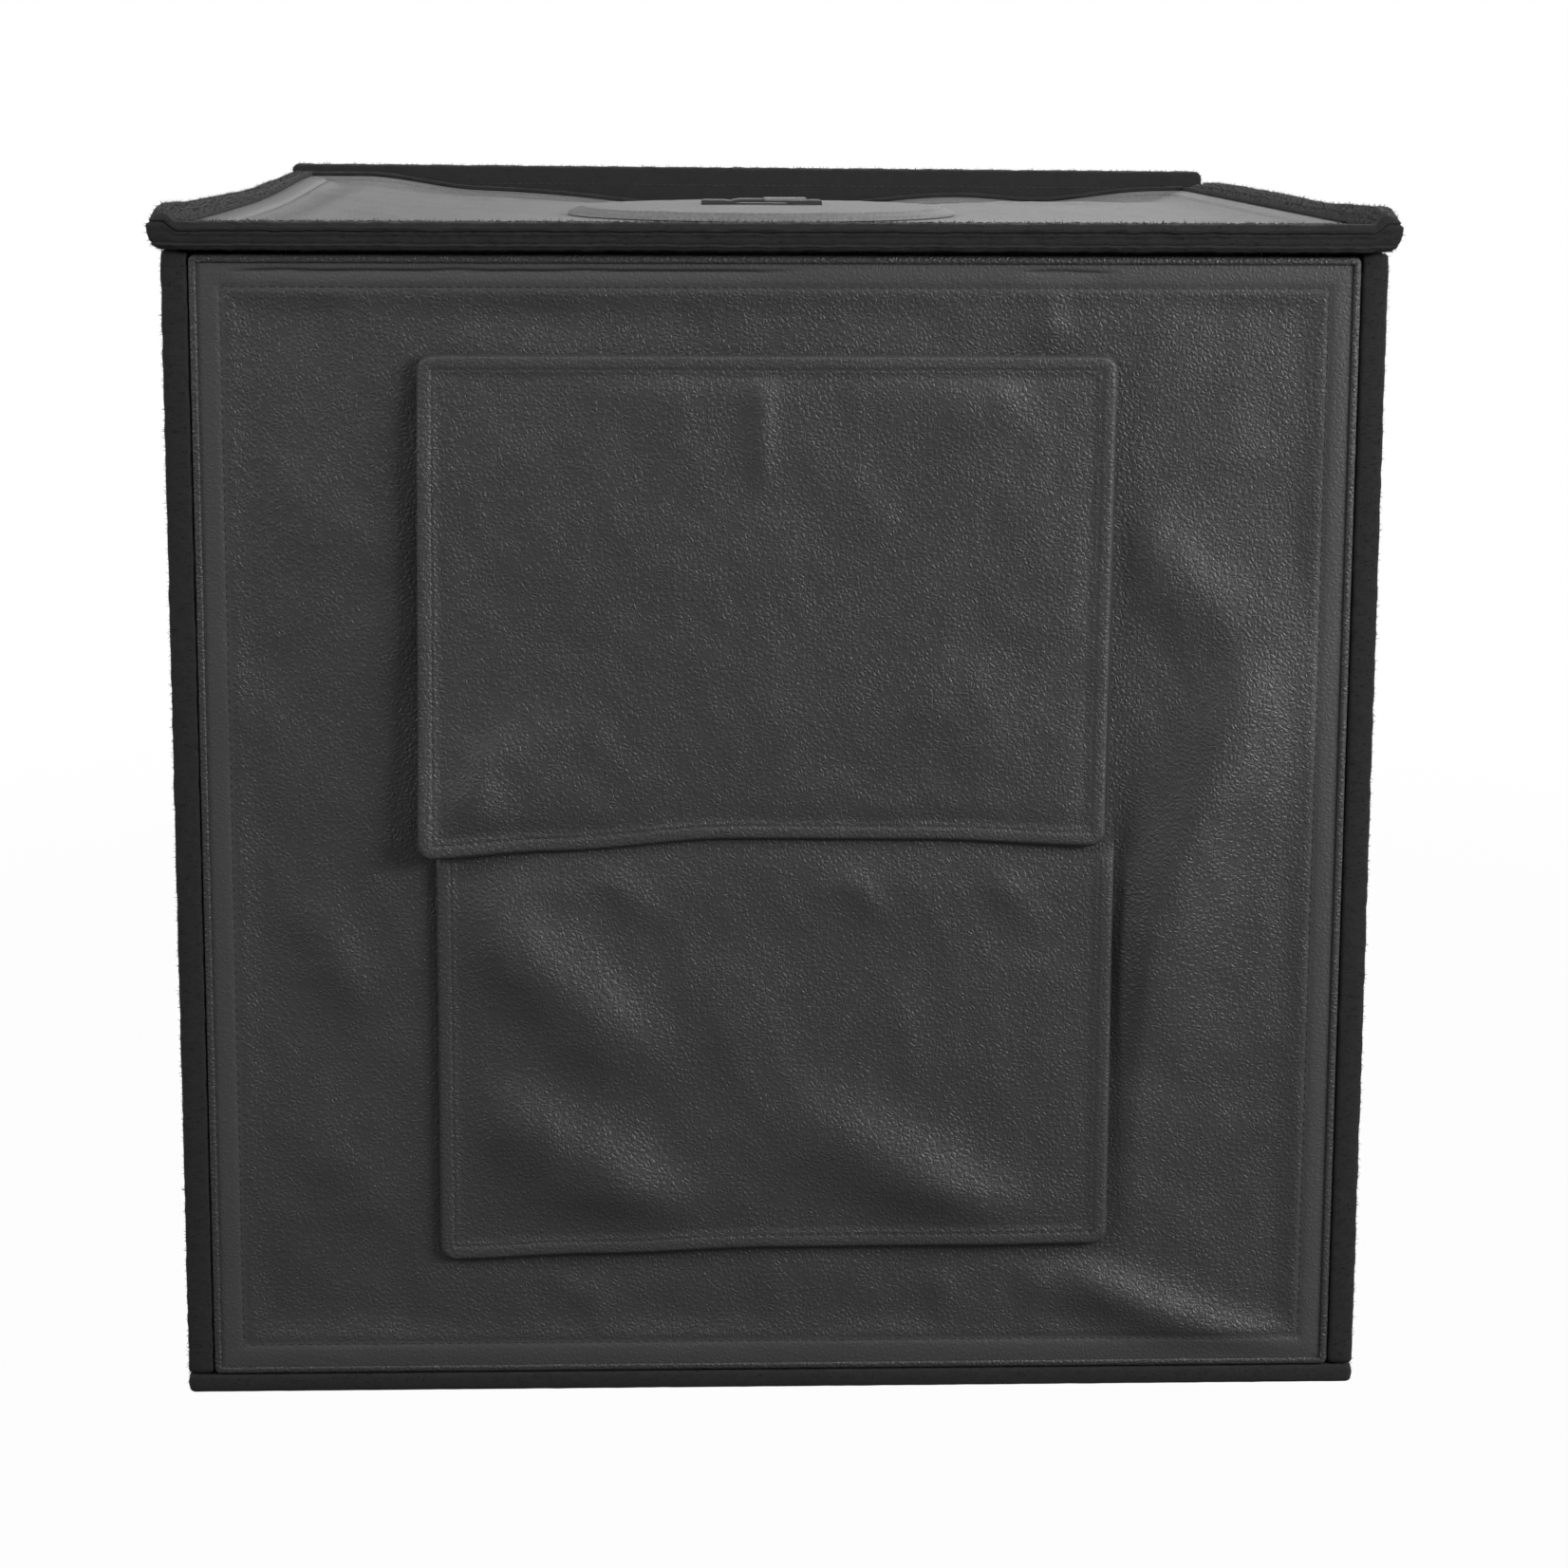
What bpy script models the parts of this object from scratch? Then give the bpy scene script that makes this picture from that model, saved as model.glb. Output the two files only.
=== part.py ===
"""Folding light tent cube for photographing small products, standing closed and ready for use.

Six sewn panels make the cube: a base, two side walls, a rear wall, a drop-down door and a roof.
Each has an outer cover and a silver lining round a steel rod (a board in the base), and a binding
of hook-and-loop tape round its edge. The door has a window with two flaps, the roof has a round
hatch and carries two light bars, and a white backdrop sweeps from the rear wall to the base.

Metres, +Z up, door towards -Y. The origin is the middle of the base's underside.
Every panel is modelled in its own frame: u across, v away from its hinged edge, n out of the tent,
with the outer face of its binding at n = 0 and its hinge along the u axis.
"""

import math

import bmesh
import bpy
from mathutils import Matrix, Vector

MM = 0.001

# Driving sizes of the tent
TENT_WIDTH = 400 * MM
TENT_DEPTH = 400 * MM
ROOF_TOP = 398 * MM
REAR_RISE = 6 * MM
ROOF_OVERHANG = 3.5 * MM
DOOR_TOP_SLIT = 1.6 * MM

# Gaps between panels that butt, and between the layers of one panel
PANEL_GAP = 0.4 * MM
LAYER_GAP = 0.3 * MM

# A share of a cell too small to add one for
ROUNDING = 1e-6

# Cloths, rods and board
COVER_CLOTH = 0.9 * MM
LINING_CLOTH = 0.5 * MM
WALL_BINDING = 1.0 * MM
DOOR_BINDING = 0.6 * MM
ROOF_BINDING = 1.3 * MM
WALL_ROD = 3.9 * MM
DOOR_ROD = 3.2 * MM
BASE_BOARD = 1.6 * MM
ROD_CORNER_RADIUS = 12 * MM
ROD_SIDE_ROOM = 0.4 * MM

# Binding legs, hems and the slack between cover and lining inside them
WALL_LEG = 9 * MM
REAR_INNER_LEG = 26 * MM
DOOR_LEG = 2.4 * MM
HEM_WIDTH = 9 * MM
HEM_SLOPE = 2 * MM
FIELD_SLACK = 1.0 * MM
WIDEST_CELL = 36 * MM
COARSE_CELL = 75 * MM

# Window in the door
WINDOW_SIDE_ROOM = 91.1 * MM
WINDOW_BOTTOM = 57 * MM
WINDOW_TOP_ROOM = 46.5 * MM
WINDOW_BINDING = 0.6 * MM
WINDOW_LEG = 4 * MM
WINDOW_TAPE_WIDTH = 7 * MM
WINDOW_TAPE_THICKNESS = 0.9 * MM
WINDOW_CALM = 10 * MM

# Flaps over the window
UPPER_FLAP_OVERLAP = 14.5 * MM
UPPER_FLAP_HEIGHT = 164 * MM
LOWER_FLAP_OVERLAP = 13.5 * MM
LOWER_FLAP_BELOW_WINDOW = 14 * MM
FLAP_TOP_ROOM = 14.5 * MM
FLAP_CLOTH = 1.2 * MM
FLAP_HEM = 4.5 * MM
FLAP_HEM_RISE = 0.5 * MM
FLAP_CORNER = 5 * MM
FLAP_MEETING_GAP = 0.8 * MM
UPPER_FLAP_LIFT = 1.3 * MM
FLAP_CELL = 21 * MM
FLAP_SEAM_WIDTH = 6 * MM
FLAP_SEAM_INSET = 1 * MM

# Corner flanges behind the door, and the hook tapes that grip them
FLANGE_WIDTH = 18 * MM
FLANGE_CLOTH = 1.4 * MM
DOOR_TAPE_WIDTH = 12 * MM
DOOR_TAPE_THICKNESS = 1.0 * MM
DOOR_TAPE_END_ROOM = 24 * MM

# Round window in the roof, and its hatch
ROOF_WINDOW_RADIUS = 62 * MM
ROOF_WINDOW_REACH = 78 * MM
ROOF_RING_WIDTH = 7 * MM
ROOF_RING_THICKNESS = 1.0 * MM
HATCH_RADIUS = 74 * MM
HATCH_CLOTH = 1.2 * MM
HATCH_CROWN = 0.8 * MM
HATCH_CELLS = 8
LOOP_LENGTH = 46 * MM
LOOP_WIDTH = 14 * MM
LOOP_WEB = 1.3 * MM
LOOP_RISE = 0.8 * MM
LOOP_FOOT = 9 * MM

# How far the roof's field hangs below the middle of its thickness, over what width it slopes down,
# and where its rear edge hangs down between the walls
ROOF_FIELD_DROP = 2.3 * MM
ROOF_SLOPE = 10 * MM
REAR_SAG = 10 * MM
SAG_HALF_WIDTH_SHARE = 0.185
SAG_REACH_SHARE = 0.5

# Light bars under the roof
BAR_WALL_ROOM = 6.4 * MM
BAR_WIDTH = 26 * MM
BAR_HEIGHT = 11 * MM
BAR_WALL = 1.3 * MM
BAR_WINDOW_ROOM = 5 * MM
BAR_TAPE_END_ROOM = 20 * MM
BAR_TAPE_WIDTH = 18 * MM
BAR_TAPE_THICKNESS = 2.0 * MM
CAP_THICKNESS = 3 * MM
LIGHT_BOARD = 1.2 * MM
LIGHT_CHIP = 3 * MM
LIGHT_CHIP_HEIGHT = 0.8 * MM
LIGHT_CHIPS = 18
DIFFUSER = 1.5 * MM
JACK_RADIUS = 4.6 * MM
JACK_BORE = 3.1 * MM
JACK_LENGTH = 9 * MM
JACK_BORE_DEPTH = 7 * MM
LINK_DIAMETER = 3 * MM
LINK_STEM = 6 * MM
LINK_BULGE = 9 * MM
LINK_DROP = 5 * MM

# Eyelet for the supply lead, and the tape that the backdrop hangs from
EYELET_BORE = 6 * MM
EYELET_FLANGE = 10 * MM
EYELET_METAL = 0.6 * MM
EYELET_REACH = 22 * MM
EYELET_FROM_SIDE = 42 * MM
EYELET_FROM_TOP = 46 * MM
HANGER_END_ROOM = 19 * MM
HANGER_WIDTH = 18 * MM
HANGER_THICKNESS = 1.5 * MM
HANGER_FROM_TOP = 58 * MM

# Backdrop
BACKDROP_SIDE_ROOM = 30.5 * MM
BACKDROP_SHEET = 1.0 * MM
BACKDROP_BEND = 95 * MM
BACKDROP_TOP_ROOM = 2 * MM
BACKDROP_FRONT_ROOM = 26 * MM
BACKDROP_STEPS = 10

# Soft folds in the cloth: where each one lies, its direction in degrees, its half length, half width
# and height. Places and lengths are shares of the cloth's width and height from its lower left corner.
FOLD_HEIGHT = 3.0 * MM
DOOR_FOLD_SHARES = (
    (0.885, 0.44, 60, 0.15, 0.040, 1.0),
    (0.885, 0.055, -26, 0.10, 0.030, 0.5),
    (0.11, 0.38, 100, 0.08, 0.035, 0.7),
    (0.82, 0.90, 95, 0.07, 0.050, 0.5),
)
UPPER_FLAP_FOLD_SHARES = (
    (0.52, 0.80, 92, 0.20, 0.060, 0.6),
    (0.18, 0.25, 64, 0.18, 0.070, 0.8),
    (0.78, 0.72, 28, 0.22, 0.070, 0.5),
)
LOWER_FLAP_FOLD_SHARES = (
    (0.27, 0.70, -42, 0.22, 0.080, 1.0),
    (0.30, 0.28, -36, 0.22, 0.070, 0.9),
    (0.78, 0.27, -36, 0.24, 0.070, 0.9),
)
WALL_FOLD_SHARES = (
    (0.30, 0.62, 70, 0.22, 0.060, 0.8),
    (0.68, 0.36, -50, 0.24, 0.060, 0.7),
)

# How the panels' thicknesses and places follow
CLOTHS_AND_GAPS = COVER_CLOTH + LINING_CLOTH + 4 * LAYER_GAP
BASE_THICKNESS = 2 * WALL_BINDING + CLOTHS_AND_GAPS + BASE_BOARD
WALL_THICKNESS = 2 * WALL_BINDING + CLOTHS_AND_GAPS + WALL_ROD
DOOR_THICKNESS = 2 * DOOR_BINDING + CLOTHS_AND_GAPS + DOOR_ROD
ROOF_THICKNESS = 2 * ROOF_BINDING + CLOTHS_AND_GAPS + WALL_ROD

HINGE_LEVEL = BASE_THICKNESS + PANEL_GAP
ROOF_UNDERSIDE = ROOF_TOP - ROOF_THICKNESS
WALL_HEIGHT = ROOF_UNDERSIDE - PANEL_GAP - HINGE_LEVEL
SIDE_DEPTH = TENT_DEPTH - WALL_THICKNESS - PANEL_GAP
SIDE_MIDDLE = (SIDE_DEPTH - TENT_DEPTH) / 2
REAR_FACE = TENT_DEPTH / 2 - WALL_THICKNESS
REAR_HEIGHT = ROOF_TOP + REAR_RISE - HINGE_LEVEL
DOOR_WIDTH = TENT_WIDTH - 2 * (WALL_THICKNESS + PANEL_GAP)
DOOR_HEIGHT = WALL_HEIGHT + PANEL_GAP - DOOR_TOP_SLIT
ROOF_WIDTH = TENT_WIDTH + 2 * ROOF_OVERHANG
ROOF_DEPTH = TENT_DEPTH / 2 + ROOF_OVERHANG + REAR_FACE - PANEL_GAP
ROOF_CENTRE = REAR_FACE - PANEL_GAP
INNER_WIDTH = TENT_WIDTH - 2 * WALL_THICKNESS

# The window and its flaps follow the door
WINDOW_WIDTH = DOOR_WIDTH - 2 * WINDOW_SIDE_ROOM
WINDOW_HEIGHT = DOOR_HEIGHT - WINDOW_BOTTOM - WINDOW_TOP_ROOM
UPPER_FLAP_WIDTH = WINDOW_WIDTH + 2 * UPPER_FLAP_OVERLAP
LOWER_FLAP_WIDTH = WINDOW_WIDTH + 2 * LOWER_FLAP_OVERLAP

# The bars end clear of the walls, with room for the socket and the link lead beyond their caps
LINK_REACH = LINK_STEM + LINK_BULGE + LINK_DIAMETER / 2
BAR_END_ROOM = BAR_WALL_ROOM + max(LINK_REACH, JACK_LENGTH) + CAP_THICKNESS + 2 * LAYER_GAP
BAR_LENGTH = INNER_WIDTH - 2 * BAR_END_ROOM
BAR_TAPE_LENGTH = BAR_LENGTH - 2 * BAR_TAPE_END_ROOM
BAR_OFFSET = ROOF_WINDOW_REACH + BAR_WINDOW_ROOM + BAR_WIDTH / 2
BACKDROP_WIDTH = INNER_WIDTH - 2 * BACKDROP_SIDE_ROOM
HANGER_LENGTH = BACKDROP_WIDTH - 2 * HANGER_END_ROOM

# The roof's sag fades out between its rear hem and the rear light bar
SAG_ROOM = ROOF_CENTRE - BAR_OFFSET - BAR_TAPE_WIDTH / 2 - WALL_LEG - HEM_WIDTH
SAG_REACH = SAG_ROOM * SAG_REACH_SHARE
SAG_HALF_WIDTH = TENT_WIDTH * SAG_HALF_WIDTH_SHARE


def finish_colour(red, green, blue, roughness, metallic=0.0):
    """A colour and finish for a material."""
    return {"colour": (red, green, blue, 1.0), "roughness": roughness, "metallic": metallic}


FINISHES = {
    "black_leathercloth": finish_colour(0.045, 0.045, 0.047, 0.5),
    "black_binding": finish_colour(0.022, 0.022, 0.023, 0.95),
    "black_tape": finish_colour(0.018, 0.018, 0.019, 0.95),
    "grey_roof_cloth": finish_colour(0.42, 0.42, 0.42, 0.6),
    "silver_lining": finish_colour(0.62, 0.63, 0.64, 0.35, 0.7),
    "steel_rod": finish_colour(0.45, 0.45, 0.46, 0.4, 1.0),
    "base_board": finish_colour(0.28, 0.26, 0.22, 0.8),
    "white_backdrop": finish_colour(0.85, 0.85, 0.84, 0.55),
    "bar_aluminium": finish_colour(0.6, 0.6, 0.61, 0.35, 1.0),
    "light_board": finish_colour(0.82, 0.83, 0.8, 0.5),
    "bar_diffuser": finish_colour(0.9, 0.9, 0.88, 0.4),
    "black_plastic": finish_colour(0.03, 0.03, 0.032, 0.5),
    "eyelet_nickel": finish_colour(0.55, 0.54, 0.52, 0.25, 1.0),
}


def clear_scene():
    """Removes what the scene starts with."""
    for obj in list(bpy.data.objects):
        bpy.data.objects.remove(obj)


def material(name):
    """The material of that finish, made once."""
    made = bpy.data.materials.get(name)
    if made:
        return made
    made = bpy.data.materials.new(name)
    made.use_nodes = True
    shader = made.node_tree.nodes["Principled BSDF"]
    shader.inputs["Base Color"].default_value = FINISHES[name]["colour"]
    shader.inputs["Roughness"].default_value = FINISHES[name]["roughness"]
    shader.inputs["Metallic"].default_value = FINISHES[name]["metallic"]
    return made


def frame_matrix(across, away, origin):
    """The matrix of a panel's frame, from the directions of u and v and the place of its origin."""
    across = Vector(across)
    away = Vector(away)
    turned = Matrix((across, away, across.cross(away))).transposed().to_4x4()
    return Matrix.Translation(origin) @ turned


def empty(name, parent=None, place=None):
    """An empty on a hinge, or on a panel's frame. Place is relative to the parent."""
    made = bpy.data.objects.new(name, None)
    bpy.context.scene.collection.objects.link(made)
    made.parent = parent
    made.matrix_local = place or Matrix.Identity(4)
    return made


def add_object(name, data, finish, parent):
    """Puts a mesh or curve in the scene, under its panel's empty."""
    data.materials.append(material(finish))
    made = bpy.data.objects.new(name, data)
    bpy.context.scene.collection.objects.link(made)
    made.parent = parent
    return made


def add_solid(name, bm, finish, parent, smooth=False):
    """Turns a bmesh into a named object whose faces point outwards."""
    bmesh.ops.remove_doubles(bm, verts=bm.verts, dist=LAYER_GAP / 100)
    bmesh.ops.recalc_face_normals(bm, faces=bm.faces)
    mesh = bpy.data.meshes.new(name)
    bm.to_mesh(mesh)
    bm.free()
    if smooth:
        mesh.shade_smooth()
        mesh.set_sharp_from_angle(angle=math.radians(35))
    return add_object(name, mesh, finish, parent)


def add_box(name, low, high, finish, parent):
    """A block between two corners, in its parent's frame."""
    bm = bmesh.new()
    bmesh.ops.create_cube(bm, size=1)
    low, high = Vector(low), Vector(high)
    for vert in bm.verts:
        vert.co = (low + high) / 2 + Vector(a * b for a, b in zip(vert.co, high - low))
    return add_solid(name, bm, finish, parent)


def add_lathe(name, profile, steps, finish, parent, place):
    """A closed profile of (radius, height) points turned about its own axis, then placed."""
    bm = bmesh.new()
    rings = []
    for step in range(steps):
        angle = 2 * math.pi * step / steps
        turn = Matrix.Rotation(angle, 4, "Z")
        rings.append([bm.verts.new(place @ turn @ Vector((r, 0, h))) for r, h in profile])
    for here, there in zip(rings, rings[1:] + rings[:1]):
        for k in range(len(profile)):
            after = (k + 1) % len(profile)
            bm.faces.new((here[k], there[k], there[after], here[after]))
    return add_solid(name, bm, finish, parent, smooth=True)


def add_tube(name, points, diameter, closed, finish, parent):
    """A rod, wire or lead along points: a poly curve with a round bevel."""
    curve = bpy.data.curves.new(name, "CURVE")
    curve.dimensions = "3D"
    curve.bevel_depth = diameter / 2
    curve.bevel_resolution = 1 if closed else 2
    curve.use_fill_caps = not closed
    spline = curve.splines.new("POLY")
    spline.points.add(len(points) - 1)
    for point, place in zip(spline.points, points):
        point.co = (*place, 1)
    spline.use_cyclic_u = closed
    return add_object(name, curve, finish, parent)


def grid_lines(stops, widest):
    """The stops in order, with even lines between them so that no cell is wider than widest."""
    stops = sorted(stops)
    lines = [stops[0]]
    for low, high in zip(stops, stops[1:]):
        steps = max(1, math.ceil((high - low) / widest - ROUNDING))
        lines += [low + (high - low) * step / steps for step in range(1, steps + 1)]
    return lines


def add_cloth(name, us, vs, outer, thickness, finish, parent, hole=None, shape=None):
    """A sheet of cloth as a closed solid, over the cells of a grid.

    outer(u, v) is the height of its outer face, hole(u, v) is true inside a cut-out, and
    shape(u, v) moves the grid's points in the plane, to round a corner or a hole."""
    bm = bmesh.new()
    fronts = {}
    backs = {}

    def corner(i, j):
        if (i, j) not in fronts:
            u, v = shape(us[i], vs[j]) if shape else (us[i], vs[j])
            height = outer(u, v)
            fronts[i, j] = bm.verts.new((u, v, height))
            backs[i, j] = bm.verts.new((u, v, height - thickness))
        return i, j

    cells = set()
    for i in range(len(us) - 1):
        for j in range(len(vs) - 1):
            middle = (us[i] + us[i + 1]) / 2, (vs[j] + vs[j + 1]) / 2
            if not (hole and hole(*middle)):
                cells.add((i, j))
    for i, j in sorted(cells):
        ring = [corner(i, j), corner(i + 1, j), corner(i + 1, j + 1), corner(i, j + 1)]
        bm.faces.new([fronts[c] for c in ring])
        bm.faces.new([backs[c] for c in reversed(ring)])
        beside = ((i, j - 1), (i + 1, j), (i, j + 1), (i - 1, j))
        for side, cell in enumerate(beside):
            if cell not in cells:
                a, b = ring[side], ring[(side + 1) % 4]
                bm.faces.new((fronts[b], fronts[a], backs[a], backs[b]))
    return add_solid(name, bm, finish, parent)


def smooth_step(value):
    """0 at and below 0, 1 at and above 1, smooth between."""
    value = min(max(value, 0), 1)
    return value * value * (3 - 2 * value)


def fold_relief(u, v, left, bottom, width, height, folds):
    """How far soft folds lift the cloth at (u, v)."""
    lift = 0
    for across, up, degrees, length, spread, rise in folds:
        du = (u - left) / width - across
        dv = (v - bottom) / height - up
        along = du * math.cos(math.radians(degrees)) + dv * math.sin(math.radians(degrees))
        beside = dv * math.cos(math.radians(degrees)) - du * math.sin(math.radians(degrees))
        lift += rise * math.exp(-((along / length) ** 2) - (beside / spread) ** 2)
    return FOLD_HEIGHT * lift


def edge_inset(u, v, left, right, bottom, top):
    """How far (u, v) lies inside a rectangle, and negative outside it."""
    return min(u - left, right - u, v - bottom, top - v)


def onto_circle(u, v, centre_u, centre_v, radius, reach):
    """Moves the grid points round a square cut-out, up to reach, so that its edge becomes a circle."""
    du, dv = u - centre_u, v - centre_v
    square = max(abs(du), abs(dv))
    length = math.hypot(du, dv)
    if square >= reach or not length:
        return u, v
    share = (reach - square) / (reach - radius) if square > radius else 1
    factor = 1 + share * (square / length - 1)
    return centre_u + du * factor, centre_v + dv * factor


def onto_rounded_corners(u, v, left, right, bottom, top, radius):
    """Moves grid points near a rectangle's corners so that each corner becomes an arc."""
    centre_u = min(max(u, left + radius), right - radius)
    centre_v = min(max(v, bottom + radius), top - radius)
    du, dv = u - centre_u, v - centre_v
    length = math.hypot(du, dv)
    if not length:
        return u, v
    factor = max(abs(du), abs(dv)) / length
    return centre_u + du * factor, centre_v + dv * factor


class Panel:
    """One sewn panel: its frame, its sizes and the levels of its layers."""

    def __init__(self, name, hinge, width, height, thickness, binding, leg, drop=0, slope=HEM_SLOPE):
        self.name = name
        self.hinge = hinge
        self.width = width
        self.height = height
        self.thickness = thickness
        self.binding = binding
        self.leg = leg
        self.left = -width / 2
        self.right = width / 2
        self.edge = binding + LAYER_GAP
        self.hem_end = leg + HEM_WIDTH
        self.slope = slope
        self.middle = -thickness / 2
        self.cover_hem = -self.edge
        self.lining_hem = -thickness + self.edge + LINING_CLOTH
        self.cover_field = self.middle - drop + (LAYER_GAP + FIELD_SLACK) / 2 + COVER_CLOTH
        self.lining_field = self.middle - drop - (LAYER_GAP + FIELD_SLACK) / 2
        self.inner_face = self.lining_field - LINING_CLOTH

    def inset(self, u, v):
        return edge_inset(u, v, self.left, self.right, 0, self.height)

    def cover_level(self, u, v):
        """The outer face of the cover: raised over the rod, lower in the field."""
        share = smooth_step((self.inset(u, v) - self.hem_end) / self.slope)
        return self.cover_hem + (self.cover_field - self.cover_hem) * share

    def lining_level(self, u, v):
        """The outer face of the lining, which drops to the panel's middle in the same way."""
        share = smooth_step((self.inset(u, v) - self.hem_end) / self.slope)
        return self.lining_hem + (self.lining_field - self.lining_hem) * share

    def stops(self, length):
        """Grid lines that every layer needs along a side of that length."""
        near = [self.edge, self.hem_end, self.hem_end + self.slope]
        return near + [length - stop for stop in near]

    def us(self, widest, extra=()):
        return grid_lines([self.left + stop for stop in self.stops(self.width)] + list(extra), widest)

    def vs(self, widest, extra=()):
        return grid_lines(self.stops(self.height) + list(extra), widest)

    def calm(self, u, v):
        """Fades folds out near the hem."""
        return smooth_step((self.inset(u, v) - self.hem_end - self.slope) / HEM_WIDTH)

    def folded_level(self, folds):
        """The cover's outer face with soft folds in its field."""

        def level(u, v):
            lift = fold_relief(u, v, self.left, 0, self.width, self.height, folds)
            return self.cover_level(u, v) + lift * self.calm(u, v)

        return level

    def add_binding(self, finish, warp=None, stations=(), inner_leg=None):
        """Tape folded round the whole edge: a channel section on a rectangle."""
        thickness, wall, leg = self.thickness, self.binding, self.leg
        inner = inner_leg or leg
        section = (
            (0, 0), (leg, 0), (leg, -wall), (wall, -wall), (wall, wall - thickness),
            (inner, wall - thickness), (inner, -thickness), (0, -thickness),
        )
        add_channel(
            self.name + "_binding", (self.left, self.right, 0, self.height), section, finish, self.hinge,
            warp, stations,
        )

    def add_rod(self, diameter, finish, warp=None, stations=()):
        """The steel rod in the hem: a rounded rectangle, with points at the stations of its lower side."""
        inset = self.edge + ROD_SIDE_ROOM + diameter / 2
        low_u, high_u = self.left + inset, self.right - inset
        low_v, high_v = inset, self.height - inset
        radius = ROD_CORNER_RADIUS
        corners = (
            (high_u - radius, low_v + radius, -90), (high_u - radius, high_v - radius, 0),
            (low_u + radius, high_v - radius, 90), (low_u + radius, low_v + radius, 180),
        )
        arc_steps = 4
        points = []
        for u, v, start in corners:
            for step in range(arc_steps + 1):
                angle = math.radians(start + 90 * step / arc_steps)
                along, up = radius * math.cos(angle), radius * math.sin(angle)
                points.append(Vector((u + along, v + up, self.middle)))
        points += [Vector((u, low_v, self.middle)) for u in stations]
        if warp:
            points = [Vector(warp(*point)) for point in points]
        add_tube(self.name + "_rod", points, diameter, True, finish, self.hinge)


def add_channel(name, rectangle, section, finish, parent, warp=None, stations=()):
    """A section of (inset, height) points swept round a rectangle. A negative inset lies outside it.

    The stations are extra places along its lower side, for a warp to bend it at."""
    left, right, bottom, top = rectangle
    bm = bmesh.new()
    rings = []

    def add_ring(place):
        points = [(*place(inset), height) for inset, height in section]
        rings.append([bm.verts.new(warp(*point) if warp else point) for point in points])

    add_ring(lambda inset: (left + inset, bottom + inset))
    for u in stations:
        add_ring(lambda inset: (u, bottom + inset))
    add_ring(lambda inset: (right - inset, bottom + inset))
    add_ring(lambda inset: (right - inset, top - inset))
    add_ring(lambda inset: (left + inset, top - inset))
    for here, there in zip(rings, rings[1:] + rings[:1]):
        for k in range(len(section)):
            after = (k + 1) % len(section)
            bm.faces.new((here[k], there[k], there[after], here[after]))
    return add_solid(name, bm, finish, parent)


def build_base():
    """The base: the only panel with a board, so that a product stands on it flat."""
    place = frame_matrix((1, 0, 0), (0, -1, 0), (0, TENT_DEPTH / 2, 0))
    frame = empty("base_frame", place=place)
    base = Panel("base", frame, TENT_WIDTH, TENT_DEPTH, BASE_THICKNESS, WALL_BINDING, WALL_LEG)
    us = grid_lines((base.left + base.edge, base.right - base.edge), TENT_WIDTH)
    vs = grid_lines((base.edge, base.height - base.edge), TENT_DEPTH)
    add_cloth("base_cover", us, vs, lambda u, v: base.cover_hem, COVER_CLOTH, "black_leathercloth", frame)
    add_cloth("base_lining", us, vs, lambda u, v: base.lining_hem, LINING_CLOTH, "silver_lining", frame)
    board = base.edge + ROD_SIDE_ROOM
    add_box(
        "base_board", (base.left + board, board, base.middle - BASE_BOARD / 2),
        (base.right - board, base.height - board, base.middle + BASE_BOARD / 2), "base_board", frame,
    )
    base.add_binding("black_binding")


def add_plain_layers(panel, folds, extra_us=(), extra_vs=(), hole=None, shape=None, inner_leg=None):
    """The cover, lining, rod and binding of a wall."""
    us = panel.us(COARSE_CELL, extra_us)
    vs = panel.vs(COARSE_CELL, extra_vs)
    add_cloth(
        panel.name + "_cover", us, vs, panel.folded_level(folds), COVER_CLOTH, "black_leathercloth",
        panel.hinge, hole, shape,
    )
    widest = max(panel.width, panel.height)
    us = panel.us(widest, extra_us)
    vs = panel.vs(widest, extra_vs)
    add_cloth(
        panel.name + "_lining", us, vs, panel.lining_level, LINING_CLOTH, "silver_lining",
        panel.hinge, hole, shape,
    )
    panel.add_rod(WALL_ROD, "steel_rod")
    panel.add_binding("black_binding", inner_leg=inner_leg)


def build_side_wall(side, name):
    """A side wall, hinged on the base's outer edge, with the flange that the door's tape grips."""
    place = frame_matrix((0, side, 0), (0, 0, 1), (side * TENT_WIDTH / 2, SIDE_MIDDLE, HINGE_LEVEL))
    hinge = empty(name + "_hinge", place=place)
    wall = Panel(name, hinge, SIDE_DEPTH, WALL_HEIGHT, WALL_THICKNESS, WALL_BINDING, WALL_LEG)
    add_plain_layers(wall, WALL_FOLD_SHARES)
    # The flange stands behind the door and the hook tape on the door's back.
    front = wall.left if side > 0 else wall.right
    inward = 1 if side > 0 else -1
    near = front + inward * (DOOR_THICKNESS + DOOR_TAPE_THICKNESS + 2 * LAYER_GAP)
    far = near + inward * FLANGE_CLOTH
    add_box(
        name + "_door_flange",
        (min(near, far), DOOR_TAPE_END_ROOM, -wall.thickness - LAYER_GAP - FLANGE_WIDTH),
        (max(near, far), wall.height - DOOR_TAPE_END_ROOM, -wall.thickness - LAYER_GAP),
        "black_tape", hinge,
    )
    return hinge


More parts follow.
